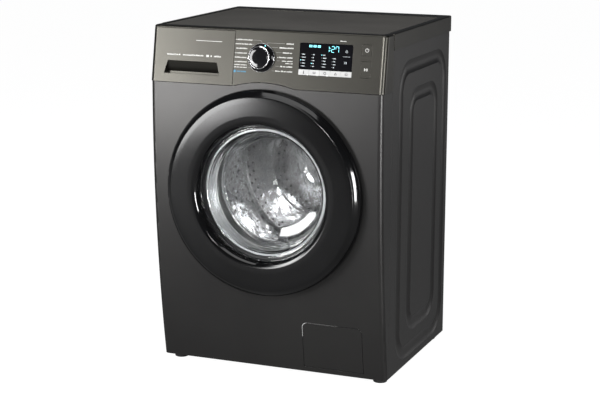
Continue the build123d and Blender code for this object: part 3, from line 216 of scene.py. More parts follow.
def glassFinish():
    # clear pressed glass that lets lamps through, with faint water marks in its gloss
    look = dict(ior=1.5, marks=18, dark=(0.93, 0.95, 0.95), light=(0.98, 0.99, 0.99), rough=(0.0, 0.02))
    material = bpy.data.materials.new("pressedGlass")
    material.use_nodes = True
    tree = material.node_tree
    shader = tree.nodes["Principled BSDF"]
    shader.inputs["Transmission Weight"].default_value = 1
    shader.inputs["IOR"].default_value = look["ior"]
    coords = objectCoords(tree)
    marks = noiseOf(tree, coords, look["marks"], 3)
    link(tree, shades(tree, marks, look["dark"], look["light"]), shader.inputs["Base Color"])
    link(tree, rangeOf(tree, marks, *look["rough"]), shader.inputs["Roughness"])
    clear = tree.nodes.new("ShaderNodeBsdfTransparent")
    path = tree.nodes.new("ShaderNodeLightPath")
    mix = tree.nodes.new("ShaderNodeMixShader")
    link(tree, path.outputs["Is Shadow Ray"], mix.inputs["Fac"])
    link(tree, shader.outputs["BSDF"], mix.inputs[1])
    link(tree, clear.outputs["BSDF"], mix.inputs[2])
    link(tree, mix.outputs["Shader"], tree.nodes["Material Output"].inputs["Surface"])
    return material


def glowFinish(name, colour, strength):
    # lit segments behind the window
    material = bpy.data.materials.new(name)
    material.use_nodes = True
    tree = material.node_tree
    shader = tree.nodes["Principled BSDF"]
    coords = objectCoords(tree)
    drift = noiseOf(tree, coords, 300, 1)
    dim = tuple(c * 0.85 for c in colour)
    link(tree, shades(tree, drift, dim, colour), shader.inputs["Base Color"])
    link(tree, shades(tree, drift, dim, colour), shader.inputs["Emission Color"])
    shader.inputs["Emission Strength"].default_value = strength
    shader.inputs["Roughness"].default_value = 0.4
    return material


def doorFinish():
    # black door ring: satin face, glossier towards its inner wall and its outer shoulder
    look = dict(dark=(0.0016, 0.0016, 0.0018), light=(0.003, 0.003, 0.0033), specular=0.36, grain=1600,
                patch=8,  # below: radius in metres and roughness there
                stops=[(0.0, 0.05), (0.170, 0.05), (0.176, 0.15), (0.236, 0.15), (0.240, 0.09), (0.26, 0.09)])
    material = bpy.data.materials.new("doorBlack")
    material.use_nodes = True
    tree = material.node_tree
    shader = tree.nodes["Principled BSDF"]
    place = tree.nodes.new("ShaderNodeTexCoord")
    shift = tree.nodes.new("ShaderNodeMapping")
    shift.inputs["Location"].default_value = (0, 0, -doorZ)
    link(tree, place.outputs["Object"], shift.inputs["Vector"])
    flat = tree.nodes.new("ShaderNodeVectorMath")
    flat.operation = "MULTIPLY"
    flat.inputs[1].default_value = (1, 0, 1)
    link(tree, shift.outputs["Vector"], flat.inputs[0])
    radius = tree.nodes.new("ShaderNodeVectorMath")
    radius.operation = "LENGTH"
    link(tree, flat.outputs["Vector"], radius.inputs[0])
    zones = tree.nodes.new("ShaderNodeValToRGB")
    while len(zones.color_ramp.elements) < len(look["stops"]):
        zones.color_ramp.elements.new(0.5)
    for element, (at, rough) in zip(zones.color_ramp.elements, look["stops"]):
        element.position = at
        element.color = (rough, rough, rough, 1)
    link(tree, radius.outputs["Value"], zones.inputs["Fac"])
    grain = noiseOf(tree, place.outputs["Object"], look["grain"], 2)
    spread = tree.nodes.new("ShaderNodeMath")
    spread.operation = "MULTIPLY"
    link(tree, zones.outputs["Color"], spread.inputs[0])
    link(tree, rangeOf(tree, grain, 0.85, 1.2), spread.inputs[1])
    link(tree, spread.outputs["Value"], shader.inputs["Roughness"])
    cloud = noiseOf(tree, place.outputs["Object"], look["patch"], 3)
    link(tree, shades(tree, cloud, look["dark"], look["light"]), shader.inputs["Base Color"])
    shader.inputs["Specular IOR Level"].default_value = look["specular"]
    return material


# which finish each material slot of the record gets
slotFinish = {
    "graphite_steel": "graphiteSteel", "graphite_fascia": "graphiteFascia", "galvanised": "galvanised",
    "steel": "steel", "stainless": "stainless", "cast_alloy": "castAlloy", "black_gloss": "blackGloss",
    "black_satin": "blackSatin", "dark_window": "darkWindow", "silver_key": "silverKey",
    "grey_rubber": "greyRubber", "black_rubber": "blackRubber", "tub_plastic": "tubPlastic",
    "white_plastic": "whitePlastic", "concrete": "concrete", "circuit_green": "circuitGreen",
    "heater_steel": "heaterSteel", "top_core": "topBoard",
}
glass = glassFinish()
doorBlack = doorFinish()
glowCyan = glowFinish("glowCyan", (0.22, 0.75, 0.85), 1.3)
glowDim = glowFinish("glowDim", (0.42, 0.46, 0.48), 0.35)


def dress(piece, material):
    piece.data.materials.clear()
    piece.data.materials.append(material)


for part in frame["record"]["subparts"]:
    name = slotFinish.get(part["material_slot"])
    dress(nodes[part["node"]], finish(name) if name else glass)
dress(nodes["filter_hatch"], finish("graphiteSteel"))
print("finishes on", len(nodes), "CAD nodes")


# ways of making pieces
def only(piece):
    bpy.ops.object.select_all(action="DESELECT")
    piece.select_set(True)
    bpy.context.view_layer.objects.active = piece


def applyPlace(piece):
    only(piece)
    bpy.ops.object.transform_apply(location=True, rotation=True, scale=True)


def settle(piece, body, material, angle=30):
    # place goes into the mesh, edges sharper than the angle stay crisp, no body for a blended piece
    applyPlace(piece)
    bpy.ops.object.mode_set(mode="EDIT")
    bpy.ops.mesh.select_all(action="SELECT")
    bpy.ops.mesh.normals_make_consistent(inside=False)
    bpy.ops.object.mode_set(mode="OBJECT")
    bpy.ops.object.shade_smooth_by_angle(angle=math.radians(angle))
    dress(piece, material)
    if body:
        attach(piece, body)


def turn(name, outline, steps=160, soften=0.0, rings=3, sweep=math.tau):
    # lathe work about Z in mm: distance from the axis and height, its corners rounded first
    points = [(r * mm, h * mm) for r, h in outline]
    bpy.ops.object.select_all(action="DESELECT")
    bpy.ops.mesh.primitive_plane_add(size=1 * mm, location=(points[0][0], 0, points[0][1]))
    piece = bpy.context.object
    piece.name = name
    bpy.ops.object.transform_apply(location=True, rotation=True, scale=True)
    bpy.ops.object.mode_set(mode="EDIT")
    bpy.ops.mesh.merge(type="CENTER")
    for here, there in zip(points, points[1:]):
        step = (there[0] - here[0], 0, there[1] - here[1])
        bpy.ops.mesh.extrude_vertices_move(TRANSFORM_OT_translate={"value": step})
    bpy.ops.mesh.select_all(action="SELECT")
    bpy.ops.mesh.remove_doubles(threshold=0.01 * mm)
    if soften:
        bpy.ops.mesh.bevel(affect="VERTICES", offset=soften * mm, segments=rings, clamp_overlap=True)
        bpy.ops.mesh.select_all(action="SELECT")
        bpy.ops.mesh.remove_doubles(threshold=0.01 * mm)
    if sweep < math.tau:
        bpy.ops.mesh.edge_face_add()
    bpy.ops.mesh.select_all(action="SELECT")
    bpy.ops.mesh.spin(steps=steps, angle=sweep, center=(0, 0, 0), axis=(0, 0, 1))
    bpy.ops.mesh.select_all(action="SELECT")
    bpy.ops.mesh.remove_doubles(threshold=0.01 * mm)
    bpy.ops.mesh.normals_make_consistent(inside=False)
    bpy.ops.object.mode_set(mode="OBJECT")
    return piece


def toFront(piece, turned=0.0):
    # lathe axis to the machine's front-to-back line: heights become places along Y
    piece.rotation_euler = (0, 0, math.radians(turned))
    applyPlace(piece)
    piece.rotation_euler = (math.radians(-90), 0, 0)
    piece.location = (0, 0, doorZ)
    applyPlace(piece)
    return piece


def cut(piece, tool):
    # takes the tool's shape out of the piece
    only(piece)
    cutter = piece.modifiers.new("cut", "BOOLEAN")
    cutter.operation = "DIFFERENCE"
    cutter.solver = "EXACT"
    cutter.object = tool
    bpy.ops.object.modifier_apply(modifier="cut")
    bpy.data.objects.remove(tool, do_unlink=True)


def block(low, high):
    # a box between two corners, in mm
    middle = [(a + b) / 2 * mm for a, b in zip(low, high)]
    bpy.ops.object.select_all(action="DESELECT")
    bpy.ops.mesh.primitive_cube_add(size=1, location=middle)
    piece = bpy.context.object
    piece.scale = [(b - a) * mm for a, b in zip(low, high)]
    applyPlace(piece)
    return piece


def rod(radius, length, place, turned, sides):
    bpy.ops.object.select_all(action="DESELECT")
    bpy.ops.mesh.primitive_cylinder_add(vertices=sides, radius=radius * mm, depth=length * mm,
                                        location=[c * mm for c in place],
                                        rotation=[math.radians(c) for c in turned])
    piece = bpy.context.object
    applyPlace(piece)
    return piece


def copyNode(node, name):
    # own mesh of a CAD node, its loose triangles merged
    only(nodes[node])
    bpy.ops.object.duplicate()
    piece = bpy.context.object
    piece.name = name
    bpy.ops.object.parent_clear(type="CLEAR_KEEP_TRANSFORM")
    bpy.ops.object.mode_set(mode="EDIT")
    bpy.ops.mesh.select_all(action="SELECT")
    bpy.ops.mesh.remove_doubles(threshold=0.01 * mm)
    bpy.ops.object.mode_set(mode="OBJECT")
    return piece


# the leaning control face: X across, Y up the face, Z out at the user
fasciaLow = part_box("control_fascia")[0]
faceUp = Vector((0, math.sin(lean), math.cos(lean)))
faceFrame = Matrix.Identity(4)
for row in range(3):
    faceFrame[row][1] = faceUp[row]
    faceFrame[row][2] = faceOut[row]
faceFrame.translation = (0, fasciaLow.y, fasciaLow.z)
knobSpot = faceFrame.inverted() @ knobPlace


def faceBox(node):
    # middle across and up the face, and how far the node stands out of it
    inFace = [faceFrame.inverted() @ vertex.co for vertex in nodes[node].data.vertices]
    xs = [spot.x for spot in inFace]
    ups = [spot.y for spot in inFace]
    return (min(xs) + max(xs)) / 2 / mm, (min(ups) + max(ups)) / 2 / mm, max(spot.z for spot in inFace)


def onFace(piece, x=0.0, up=0.0, out=0.0):
    applyPlace(piece)
    piece.matrix_world = faceFrame @ Matrix.Translation((x, up, out))
    applyPlace(piece)
    return piece


def tiles(name, marks, thick=0.16, sink=0.05):
    # thin plates on the control face in mm: x, height up the face, width, height, turn
    plates = []
    for x, up, wide, tall, turned in marks:
        bpy.ops.mesh.primitive_plane_add(size=1, location=(x * mm, up * mm, -sink * mm),
                                         rotation=(0, 0, math.radians(turned)))
        plate = bpy.context.object
        plate.scale = (wide * mm, tall * mm, 1)
        plates.append(plate)
    for plate in plates:
        plate.select_set(True)
    bpy.ops.object.join()
    piece = bpy.context.object
    piece.name = name
    applyPlace(piece)
    bpy.ops.object.mode_set(mode="EDIT")
    bpy.ops.mesh.select_all(action="SELECT")
    bpy.ops.mesh.extrude_region_move(TRANSFORM_OT_translate={"value": (0, 0, (thick + sink) * mm)})
    bpy.ops.object.mode_set(mode="OBJECT")
    return piece


def ringMarks(x, up, radius, width, start=0, sweep=360, count=14):
    # short plates along a circle, each a little longer than its share so that they join
    long = math.radians(sweep) * radius / count * 1.12
    marks = []
    for step in range(count):
        angle = math.radians(start + sweep * (step + 0.5) / count)
        marks.append((x + radius * math.cos(angle), up + radius * math.sin(angle), long, width,
                      math.degrees(angle) + 90))
    return marks


def makeDoorRing():
    # outer ring with a crisp front edge, shoulder, skirt, finger grip and room for the hinge
    ring = dict(front=-275, brow=236, edge=250.5, rim=161, skirt=-222, back=-242,
                coverRadius=3704, coverTop=-251, coverHeight=640, grip=28, gripPlane=-257,
                hinge=17.5, arms=(-36.5, 26.5), arm=10)
    front = ring["front"]
    edge = ring["edge"]
    back = ring["back"]
    outline = [(ring["rim"], back), (163, -254), (166.5, -267), (171, front + 2.2), (178, front + 0.3),
               (190, front - 0.2), (222, front), (233, front + 0.4), (235.2, front + 1.0),
               (236.4, front + 2.2), (239.5, front + 4.5), (246, front + 11), (249.5, front + 17.5),
               (edge, front + 23), (edge, ring["skirt"]), (edge - 3, ring["skirt"]), (edge - 3, front + 23),
               (244, front + 14), (234.5, front + 5), (226, front + 3.4), (180, front + 3.4),
               (173, front + 6), (164.2, back), (ring["rim"], back)]
    piece = turn("doorRing", outline, steps=224, soften=0.7, rings=2)
    toFront(piece)
    height = doorZ / mm
    # the skirt follows the arched front cover, then room for the hinge, its arms and the fingers
    tool = rod(ring["coverRadius"], 620, (0, ring["coverTop"] + ring["coverRadius"], ring["coverHeight"]),
               (0, 90, 0), 900)
    cut(tool, rod(ring["brow"] + 2, 200, (0, -270, height), (90, 0, 0), 224))
    cut(piece, tool)
    hingeX, hingeY = [value / mm for value in joints["door_hinge"]["pos_m"][:2]]
    side = block((-300, hingeY - 60, height - 260), (hingeX, hingeY + 60, height + 260))
    cut(side, rod(ring["hinge"], 540, (hingeX, hingeY, height), (0, 0, 0), 128))
    cut(piece, side)
    for low in ring["arms"]:
        slot = block((-300, hingeY - 2, height + low), (hingeX + 5, hingeY + 60, height + low + ring["arm"]))
        cut(piece, slot)
    grip = turn("grip", [(ring["brow"], ring["gripPlane"]), (258, ring["gripPlane"]), (258, -210),
                         (ring["brow"], -210), (ring["brow"], ring["gripPlane"])],
                steps=24, sweep=math.radians(2 * ring["grip"]))
    toFront(grip, turned=-ring["grip"])
    cut(piece, grip)
    settle(piece, "door", doorBlack, 32)
    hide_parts("door_ring")


def makeGlass():
    # pressed bowl: thick rounded flange, steep wall and a soft dome
    bowl = dict(steps=192, soften=1.4, sealSteps=160, sealSoften=0.4)
    outline = [(163.5, -238), (163.5, -243), (161.5, -246), (157, -247.2), (151, -245), (147, -240),
               (144.6, -228), (142.5, -205), (139, -189), (133, -178), (122, -170), (100, -166.2),
               (76, -164.9), (50, -164.1), (25, -163.7), (0, -163.6), (0, -159.8), (25, -159.9), (50, -160.3),
               (78, -161.1), (102, -162.3), (125, -166), (137.5, -175),
               (144.5, -188), (148, -206), (150.2, -228), (151.5, -238), (163.5, -238)]
    piece = toFront(turn("glassBowl", outline, bowl["steps"], bowl["soften"], rings=3))
    settle(piece, "door", glass, 60)
    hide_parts("door_glass")
    seal = [(151.8, -237.8), (155.8, -237.8), (155.8, -231), (153.6, -229.4), (151.8, -231.5),
            (151.8, -237.8)]
    ringSeal = toFront(turn("glassSeal", seal, bowl["sealSteps"], bowl["sealSoften"]))
    settle(ringSeal, "door", finish("greyRubber"))


def makeGasket():
    # bellows from the port to the tub, one fold in its middle
    bellows = dict(steps=160, soften=1.1, cabinetEnd=-207, tubEnd=-182)
    outline = [(157, -221.5), (160, -224), (166, -222.8), (167.5, -220), (167.6, -208), (171.5, -206.4),
               (173.6, -203.5), (173.6, -199), (169.5, -195.6), (169.5, -192.4), (173.6, -189),
               (173.6, -178.4), (161.9, -178.4), (162.2, -184), (165, -188.5), (165, -192),
               (161.6, -196), (162.5, -201), (160.5, -206), (155.8, -212), (157, -221.5)]
    piece = toFront(turn("doorGasket", outline, bellows["steps"], bellows["soften"], rings=3))
    settle(piece, None, finish("greyRubber"), 50)
    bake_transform(piece)
    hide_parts("door_gasket")


def makeDrum():
    # thin shell with a rolled mouth, and its punched holes as rings of small cups painted near black: a
    # painted shadow for the shade seen through each hole
    drum = dict(radius=232, wall=1.2, mouth=160, front=-136, back=156, rows=13, around=54, hole=3.0,
                backRings=((218, 60), (205, 56), (128, 40), (114, 36)))
    outer = drum["radius"]
    inner = outer - drum["wall"]
    mouth = drum["mouth"]
    front = drum["front"]
    back = drum["back"]
    outline = [(mouth + 1, front + 20), (mouth - 1, front + 14), (mouth - 1.6, front + 6),
               (mouth, front + 1.4), (mouth + 4, front), (mouth + 9, front + 1.2), (outer - 22, front + 3),
               (outer - 6, front + 8), (outer, front + 20), (outer, back - 8), (outer - 8, back),
               (150, back), (142, back - 5), (60, back - 5), (50, back), (0, back), (0, back - 1.2),
               (49, back - 1.2), (59, back - 6.2), (143, back - 6.2), (151, back - 1.2),
               (inner - 8, back - 1.2), (inner, back - 9), (inner, front + 21), (outer - 7, front + 9.6),
               (outer - 22, front + 4.4), (mouth + 9, front + 2.6), (mouth + 4, front + 1.6),
               (mouth + 1.2, front + 3), (mouth + 0.2, front + 7), (mouth + 0.6, front + 13),
               (mouth + 2.2, front + 19.4), (mouth + 1, front + 20)]
    shell = toFront(turn("drumShell", outline, steps=192, soften=0.5, rings=2))
    settle(shell, "drum", finish("drumSteel"), 40)
    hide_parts("drum_shell")
    # each ring of holes: radius, place along the axis, tilt, number of holes and angle of the first
    pitch = (back - front - 60) / drum["rows"]
    places = []
    for row in range(drum["rows"]):
        places.append((inner - 0.25, front + 36 + pitch * row, 90, drum["around"], 3.3 * (row % 2)))
    for radius, count in drum["backRings"]:
        lift = 1.45 if radius > 150 else 6.45
        places.append((radius, back - lift, 0, count, 360 / count / 2 * (radius in (205, 114))))
    bpy.ops.object.select_all(action="DESELECT")
    bpy.ops.mesh.primitive_circle_add(vertices=10, radius=drum["hole"] * mm, fill_type="NGON",
                                      location=(0, 0, 0))
    holes = bpy.context.object
    holes.name = "drumHoles"
    bpy.ops.object.mode_set(mode="EDIT")
    bpy.ops.mesh.delete(type="VERT")        # an empty mesh that takes every ring
    for radius, along, tilt, count, offset in places:
        angle = math.radians(offset)
        spot = (radius * mm * math.cos(angle), radius * mm * math.sin(angle), along * mm)
        bpy.ops.mesh.primitive_circle_add(vertices=10, radius=drum["hole"] * mm, fill_type="NGON",
                                          location=spot, rotation=(0, math.radians(tilt), angle))
        bpy.ops.mesh.spin(steps=count - 1, angle=math.tau * (count - 1) / count, center=(0, 0, 0),
                          axis=(0, 0, 1), dupli=True)
        bpy.ops.mesh.select_all(action="DESELECT")
    bpy.ops.object.mode_set(mode="OBJECT")
    thicken = holes.modifiers.new("wall", "SOLIDIFY")
    thicken.thickness = 0.3 * mm
    thicken.offset = 0
    only(holes)
    bpy.ops.object.modifier_apply(modifier="wall")
    toFront(holes)
    # the cups' dark finish is painted shade standing in for the dark space behind the holes
    settle(holes, "drum", finish("holeShadow"))


def makeKnob():
    # black knob with a bright trim ring, a thin ring on the face round it and one small lamp
    knob = dict(radius=27, height=18, lampAcross=9.4, lampUp=28.6)
    r = knob["radius"]
    h = knob["height"]
    body = [(0, -20.5), (3, -20.5), (3, -8), (6, -8), (6, 10.5), (r - 2.5, 10.5), (r - 2.5, -2.5), (r, -2.5),
            (r - 0.6, h - 3.4), (r - 2.6, h - 2.4), (r - 2.8, h - 1.2), (r - 4.2, h - 0.3), (16, h + 0.4),
            (8, h + 0.65), (0, h + 0.7)]
    cap = onFace(turn("knobBody", body, steps=96, soften=0.5, rings=3), knobSpot.x, knobSpot.y)
    settle(cap, "knob", finish("blackGloss"), 45)
    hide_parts("program_knob")
    trim = [(r - 0.7, h - 3.6), (r + 0.2, h - 3.2), (r - 0.1, h - 2.2), (r - 1.1, h - 1.4),
            (r - 1.9, h - 1.6), (r - 2.7, h - 2.6), (r - 0.7, h - 3.6)]
    chrome = onFace(turn("knobTrim", trim, steps=96, soften=0.25, rings=3), knobSpot.x, knobSpot.y)
    settle(chrome, "knob", finish("chrome"), 60)
    base = [(33.3, 0.1), (33.9, 0.1), (34.2, 0.7), (33.6, 1.0), (33.2, 0.7), (33.3, 0.1)]
    halo = onFace(turn("knobHalo", base, steps=96, soften=0.1, rings=2), knobSpot.x, knobSpot.y)
    settle(halo, "cabinet", finish("steel"), 60)
    light = turn("knobLamp", [(0, 2.4), (1.5, 2.4), (1.5, 3.3), (1.1, 3.6), (0, 3.7)], steps=20, soften=0.1)
    onFace(light, knobSpot.x + knob["lampAcross"] * mm, knobSpot.y + knob["lampUp"] * mm)
    settle(light, "cabinet", glowCyan, 50)


def makeSprings():
    # wound coils with a straight hook wire above and below
    spring = dict(coil=12, wire=2, turns=17, hookWire=2.4, lowerHook=18, upperHook=30, inset=14)
    low, high, middle = span("suspension_springs")
    bottom = low.z / mm
    top = high.z / mm
    coilLow = bottom + spring["lowerHook"]
    coilHigh = top - spring["upperHook"]
    across = high.x / mm - spring["inset"]
    thin = spring["hookWire"]
    wide = spring["coil"]
    pieces = []
    for x in (-across, across):
        bpy.ops.object.select_all(action="DESELECT")
        bpy.ops.mesh.primitive_circle_add(vertices=10, radius=spring["wire"] * mm, fill_type="NOTHING",
                                          location=(spring["coil"] * mm, 0, 0),
                                          rotation=(math.radians(90), 0, 0))
        coil = bpy.context.object
        applyPlace(coil)
        wind = coil.modifiers.new("wind", "SCREW")
        wind.screw_offset = (coilHigh - coilLow) / spring["turns"] * mm
        wind.iterations = spring["turns"]
        wind.steps = 20
        wind.render_steps = 20
        bpy.ops.object.modifier_apply(modifier="wind")
        bpy.ops.object.mode_set(mode="EDIT")
        bpy.ops.mesh.select_all(action="SELECT")
        bpy.ops.mesh.remove_doubles(threshold=0.01 * mm)
        bpy.ops.mesh.fill_holes(sides=0)
        bpy.ops.object.mode_set(mode="OBJECT")
        coil.location = (x * mm, middle.y, coilLow * mm)
        pieces.append(coil)
        for start, end in ((bottom, coilLow + 2), (coilHigh - 2, top)):
            if start == bottom:
                outline = [(0, start), (thin, start), (thin, end - 5), (wide, end - 1.5), (wide, end),
                           (0, end)]
            else:
                outline = [(0, start), (wide, start), (wide, start + 1.5), (thin, start + 5), (thin, end),
                           (0, end)]
            wire = turn("wire", outline, steps=32, soften=0.5, rings=2)
            wire.location = (x * mm, middle.y, 0)
            pieces.append(wire)
    for piece in pieces:
        piece.select_set(True)
    bpy.context.view_layer.objects.active = pieces[0]
    bpy.ops.object.join()
    springs = bpy.context.object
    springs.name = "coilSprings"
    settle(springs, None, finish("steel"), 40)
    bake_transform(springs)
    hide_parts("suspension_springs")


def makeHoses():
    # the sump hose keeps its shape, the dispenser hose gets folds
    bellows = dict(inside=12, cuff=14, crest=16, valley=13.6, folds=4)
    sump = copyNode("sump_hose", "sumpHose")
    settle(sump, None, finish("blackRubber"), 40)
    low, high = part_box("sump_hose")
    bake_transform(sump)
    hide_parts("sump_hose")
    low, high, middle = span("dispenser_hose")
    tall = (high.z - low.z) / mm
    step = (tall - 2) / bellows["folds"]
    outline = [(bellows["inside"], 0), (bellows["cuff"], 0)]
    for fold in range(bellows["folds"]):
        base = 1 + fold * (tall - 2) / bellows["folds"]
        outline += [(bellows["crest"], base + step * 0.35), (bellows["crest"], base + step * 0.6),
                    (bellows["valley"], base + step * 0.95)]
    outline += [(bellows["cuff"], tall), (bellows["inside"], tall), (bellows["inside"], 0)]
    hose = turn("dispenserHose", outline, steps=64, soften=0.5, rings=2)
    hose.location = (middle.x, middle.y, low.z)
    settle(hose, None, finish("blackRubber"), 50)
    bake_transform(hose)
    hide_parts("dispenser_hose")


def makeScrews():
    # pan heads on the rear panel and its service cover
    screw = dict(radius=4.4, height=2.4, slot=0.9)
    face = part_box("rear_panel")[1].y / mm
    spots = [(x, face, z) for x in (-288, 288) for z in (70, 250, 430, 610, 790)]
    spots += [(x, face, 24) for x in (-150, 150)]
    spots += [(x, face + 1, z) for x in (-188, 188) for z in (192, 400, 608)]   # on the cover
    r = screw["radius"]
    h = screw["height"]
    outline = [(0, -0.4), (r, -0.4), (r, 0.8), (r - 0.8, 1.9), (r - 2.4, h), (0, h)]
    head = turn("rearScrews", outline, steps=28, soften=0.3, rings=2)
    for turned in (0, 90):
        slot = block((-r * 0.6, -screw["slot"] / 2, h - 1.1), (r * 0.6, screw["slot"] / 2, h + 1))
        slot.rotation_euler = (0, 0, math.radians(turned))
        applyPlace(slot)
        cut(head, slot)
    head.rotation_euler = (math.radians(-90), 0, 0)
    applyPlace(head)
    heads = []
    for x, y, z in spots:
        only(head)
        bpy.ops.object.duplicate()
        copy = bpy.context.object
        copy.location = (x * mm, y * mm, z * mm)
        heads.append(copy)
    bpy.data.objects.remove(head, do_unlink=True)
    for copy in heads:
        copy.select_set(True)
    bpy.context.view_layer.objects.active = heads[0]
    bpy.ops.object.join()
    screws = bpy.context.object
    screws.name = "rearScrews"
    settle(screws, "cabinet", finish("steel"), 35)


def words(x0, x1, up, tall, seed):
    # one line of small print as blocks of changing width
    marks = []
    x = x0
    step = seed
    while x < x1 - 1:
        step = (step * 37 + 11) % 101
        wide = min(1.2 + (step % 5) * 0.42, x1 - x)
        high = tall * (0.72 + 0.28 * (step % 3) / 2)
        marks.append((x + wide / 2, up + (high - tall) / 2, wide, high, 0))
        x += wide + (1.9 if step % 7 == 0 else 0.55)
    return marks


def makePrint():
    # programme marks beside the knob, with the thin lines that lead to it
    # each row: from, to and height up the face; the doubled rows are lower
    doubled = (50.5, 44.8, 64.5, 59.2)
    leftRows = [(-79.2, -37, 109.8), (-79.2, -37, 99.7), (-76.5, -48, 89.2), (-79, -48.5, 78.2),
                (-79, -48, 67.9), (-78.5, -47, 57.8), (-79.2, -47, 50.5), (-79.2, -47, 44.8)]
    rightRows = [(51, 69, 105), (34, 69, 95), (43, 69, 83.6), (30, 69.5, 72.7), (42, 69.5, 64.5),
                 (51, 69.5, 59.2), (38.7, 69.5, 51.6), (26.5, 70, 40.3)]
    marks = []
    for number, (x0, x1, up) in enumerate(leftRows + rightRows):
        tall = 2.3 if up in doubled else 2.8
        marks += words(x0, x1, up, tall, seed=3 + 7 * number)
    marks += words(184, 199, 117.5, 2.2, seed=5)
    for x, up, wide in ((99.5, 36, 3), (108.5, 36, 3.4), (117, 36, 3), (124, 36, 3), (132.5, 36, 3.4),
                        (141, 36, 3), (148.5, 36, 3), (157, 36, 3.6), (165.5, 36, 3)):
        marks.append((x, up, wide, 0.8 if wide == 3 else 3.2, 0))
    plate = onFace(tiles("programmeMarks", marks))
    settle(plate, "cabinet", finish("printedWhite"))
    lines = [(-24.4, 109.8, 19, 0.6, 0), (-12.2, 105.5, 10.4, 0.6, -60), (25, 105, 44, 0.6, 0),
             (1.8, 102.6, 6, 0.6, 60), (22, 95, 17, 0.6, 0), (33, 83.6, 14, 0.6, 0), (-38, 44.8, 10, 0.6, 0),
             (33, 64.5, 7.4, 0.6, 0), (31, 51.6, 9, 0.6, 0), (20.5, 40.3, 6, 0.6, 0), (-33, 99.7, 5, 0.6, 0)]
    leaders = onFace(tiles("leaderLines", lines))
    settle(leaders, "cabinet", finish("printedGrey"))
    blue = [(-76.8, 34.8, 5.4, 5.4, 0)] + words(-71.5, -48, 34.8, 3, seed=9)
    accent = onFace(tiles("blueMarks", blue))
    settle(accent, "cabinet", finish("printedBlue"))
    small = words(-257, -222, 66.5, 3.4, seed=4) + words(-215, -161, 66.5, 3.4, seed=8)
    small += [(-150, 66.5, 7, 5, 0), (-140.5, 66.5, 3, 3.4, 0)] + words(-133, -115, 66.5, 3.6, seed=21)
    small += [(-148.5, 102, 68, 1.2, 0)]
    front = onFace(tiles("drawerMarks", small))
    settle(front, "drawer", finish("printedWhite"))


def segments(x, up, wide, tall, lit):
    # one figure of a seven segment display: top, middle and foot, then upper and lower sides
    stroke = 1.15
    half = tall / 4
    parts = {"a": (0, tall / 2, wide, stroke), "g": (0, 0, wide, stroke), "d": (0, -tall / 2, wide, stroke),
             "f": (-wide / 2, half, stroke, tall / 2), "b": (wide / 2, half, stroke, tall / 2),
             "e": (-wide / 2, -half, stroke, tall / 2), "c": (wide / 2, -half, stroke, tall / 2)}
    marks = []
    for name in lit:
        dx, dy, w, h = parts[name]
        shrink = stroke * 1.25
        if w > h:
            w -= shrink
        else:
            h -= shrink
        marks.append((x + dx, up + dy, w, h, 0))
    return marks


def makeDisplay():
    # lit signs and figures, and faint columns of small print under them
    screen = dict(left=85, width=132, top=110, height=62)

    def at(u, v):
        return screen["left"] + u * screen["width"], screen["top"] - v * screen["height"]

    lit = []
    for u in (0.205, 0.285, 0.365):
        x, up = at(u, 0.115)
        lit += [(x, up + 1.9, 7.4, 1.1, 0), (x, up - 1.9, 7.4, 1.1, 0), (x - 3.1, up, 1.2, 3.6, 0),
                (x + 3.1, up, 1.2, 3.6, 0), (x, up, 3.2, 1.3, 0)]
    x, up = at(0.53, 0.2)
    lit += segments(x, up, 6.5, 13.4, "bc")
    lit += [(x + 6.2, up + 2.6, 1.3, 1.3, 0), (x + 6.2, up - 2.6, 1.3, 1.3, 0)]
    x, up = at(0.625, 0.2)
    lit += segments(x, up, 7.2, 13.4, "abged")
    x, up = at(0.705, 0.2)
    lit += segments(x, up, 7.2, 13.4, "abcf")
    rows = (0.43, 0.54, 0.65, 0.76, 0.87)
    for u, v in ((0.03, rows[2]), (0.235, rows[3]), (0.425, rows[0])):
        x, up = at(u, v)
        lit.append((x, up, 1.7, 1.7, 0))
    glow = onFace(tiles("litFigures", lit, 0.12))
    settle(glow, "cabinet", glowCyan)
    dim = []
    columns = ((0.055, 9.5, 0), (0.255, 4.5, 0), (0.45, 8.5, 0), (0.645, 6, 1))
    for column, (u, wide, skip) in enumerate(columns):
        for number, v in enumerate(rows[skip:]):
            x, up = at(u, v)
            long = wide * (0.75 + 0.25 * ((number + column) % 2))
            dim += words(x, x + long, up, 2.2, seed=5 + number + column)
            if (column, number) not in ((0, 2), (1, 3), (2, 0)):    # these have a lit dot
                dim.append((x - 2.6, up, 0.9, 0.9, 0))
    x, up = at(0.885, 0.45)
    dim.append((x, up, 18, 0.7, 0))
    x, up = at(0.885, 0.26)
    dim += ringMarks(x, up - 0.4, 2.3, 0.8) + [(x, up + 2.8, 2.6, 0.8, 0)]
    x, up = at(0.87, 0.68)
    dim += [(x - 2, up, 0.9, 4.4, 0), (x + 1.4, up + 1.6, 4, 0.9, 0), (x + 1.4, up - 1.6, 4, 0.9, 0),
            (x + 2.9, up, 0.9, 3, 0)]
    faint = onFace(tiles("dimMarks", dim, 0.1))
    settle(faint, "cabinet", glowDim)


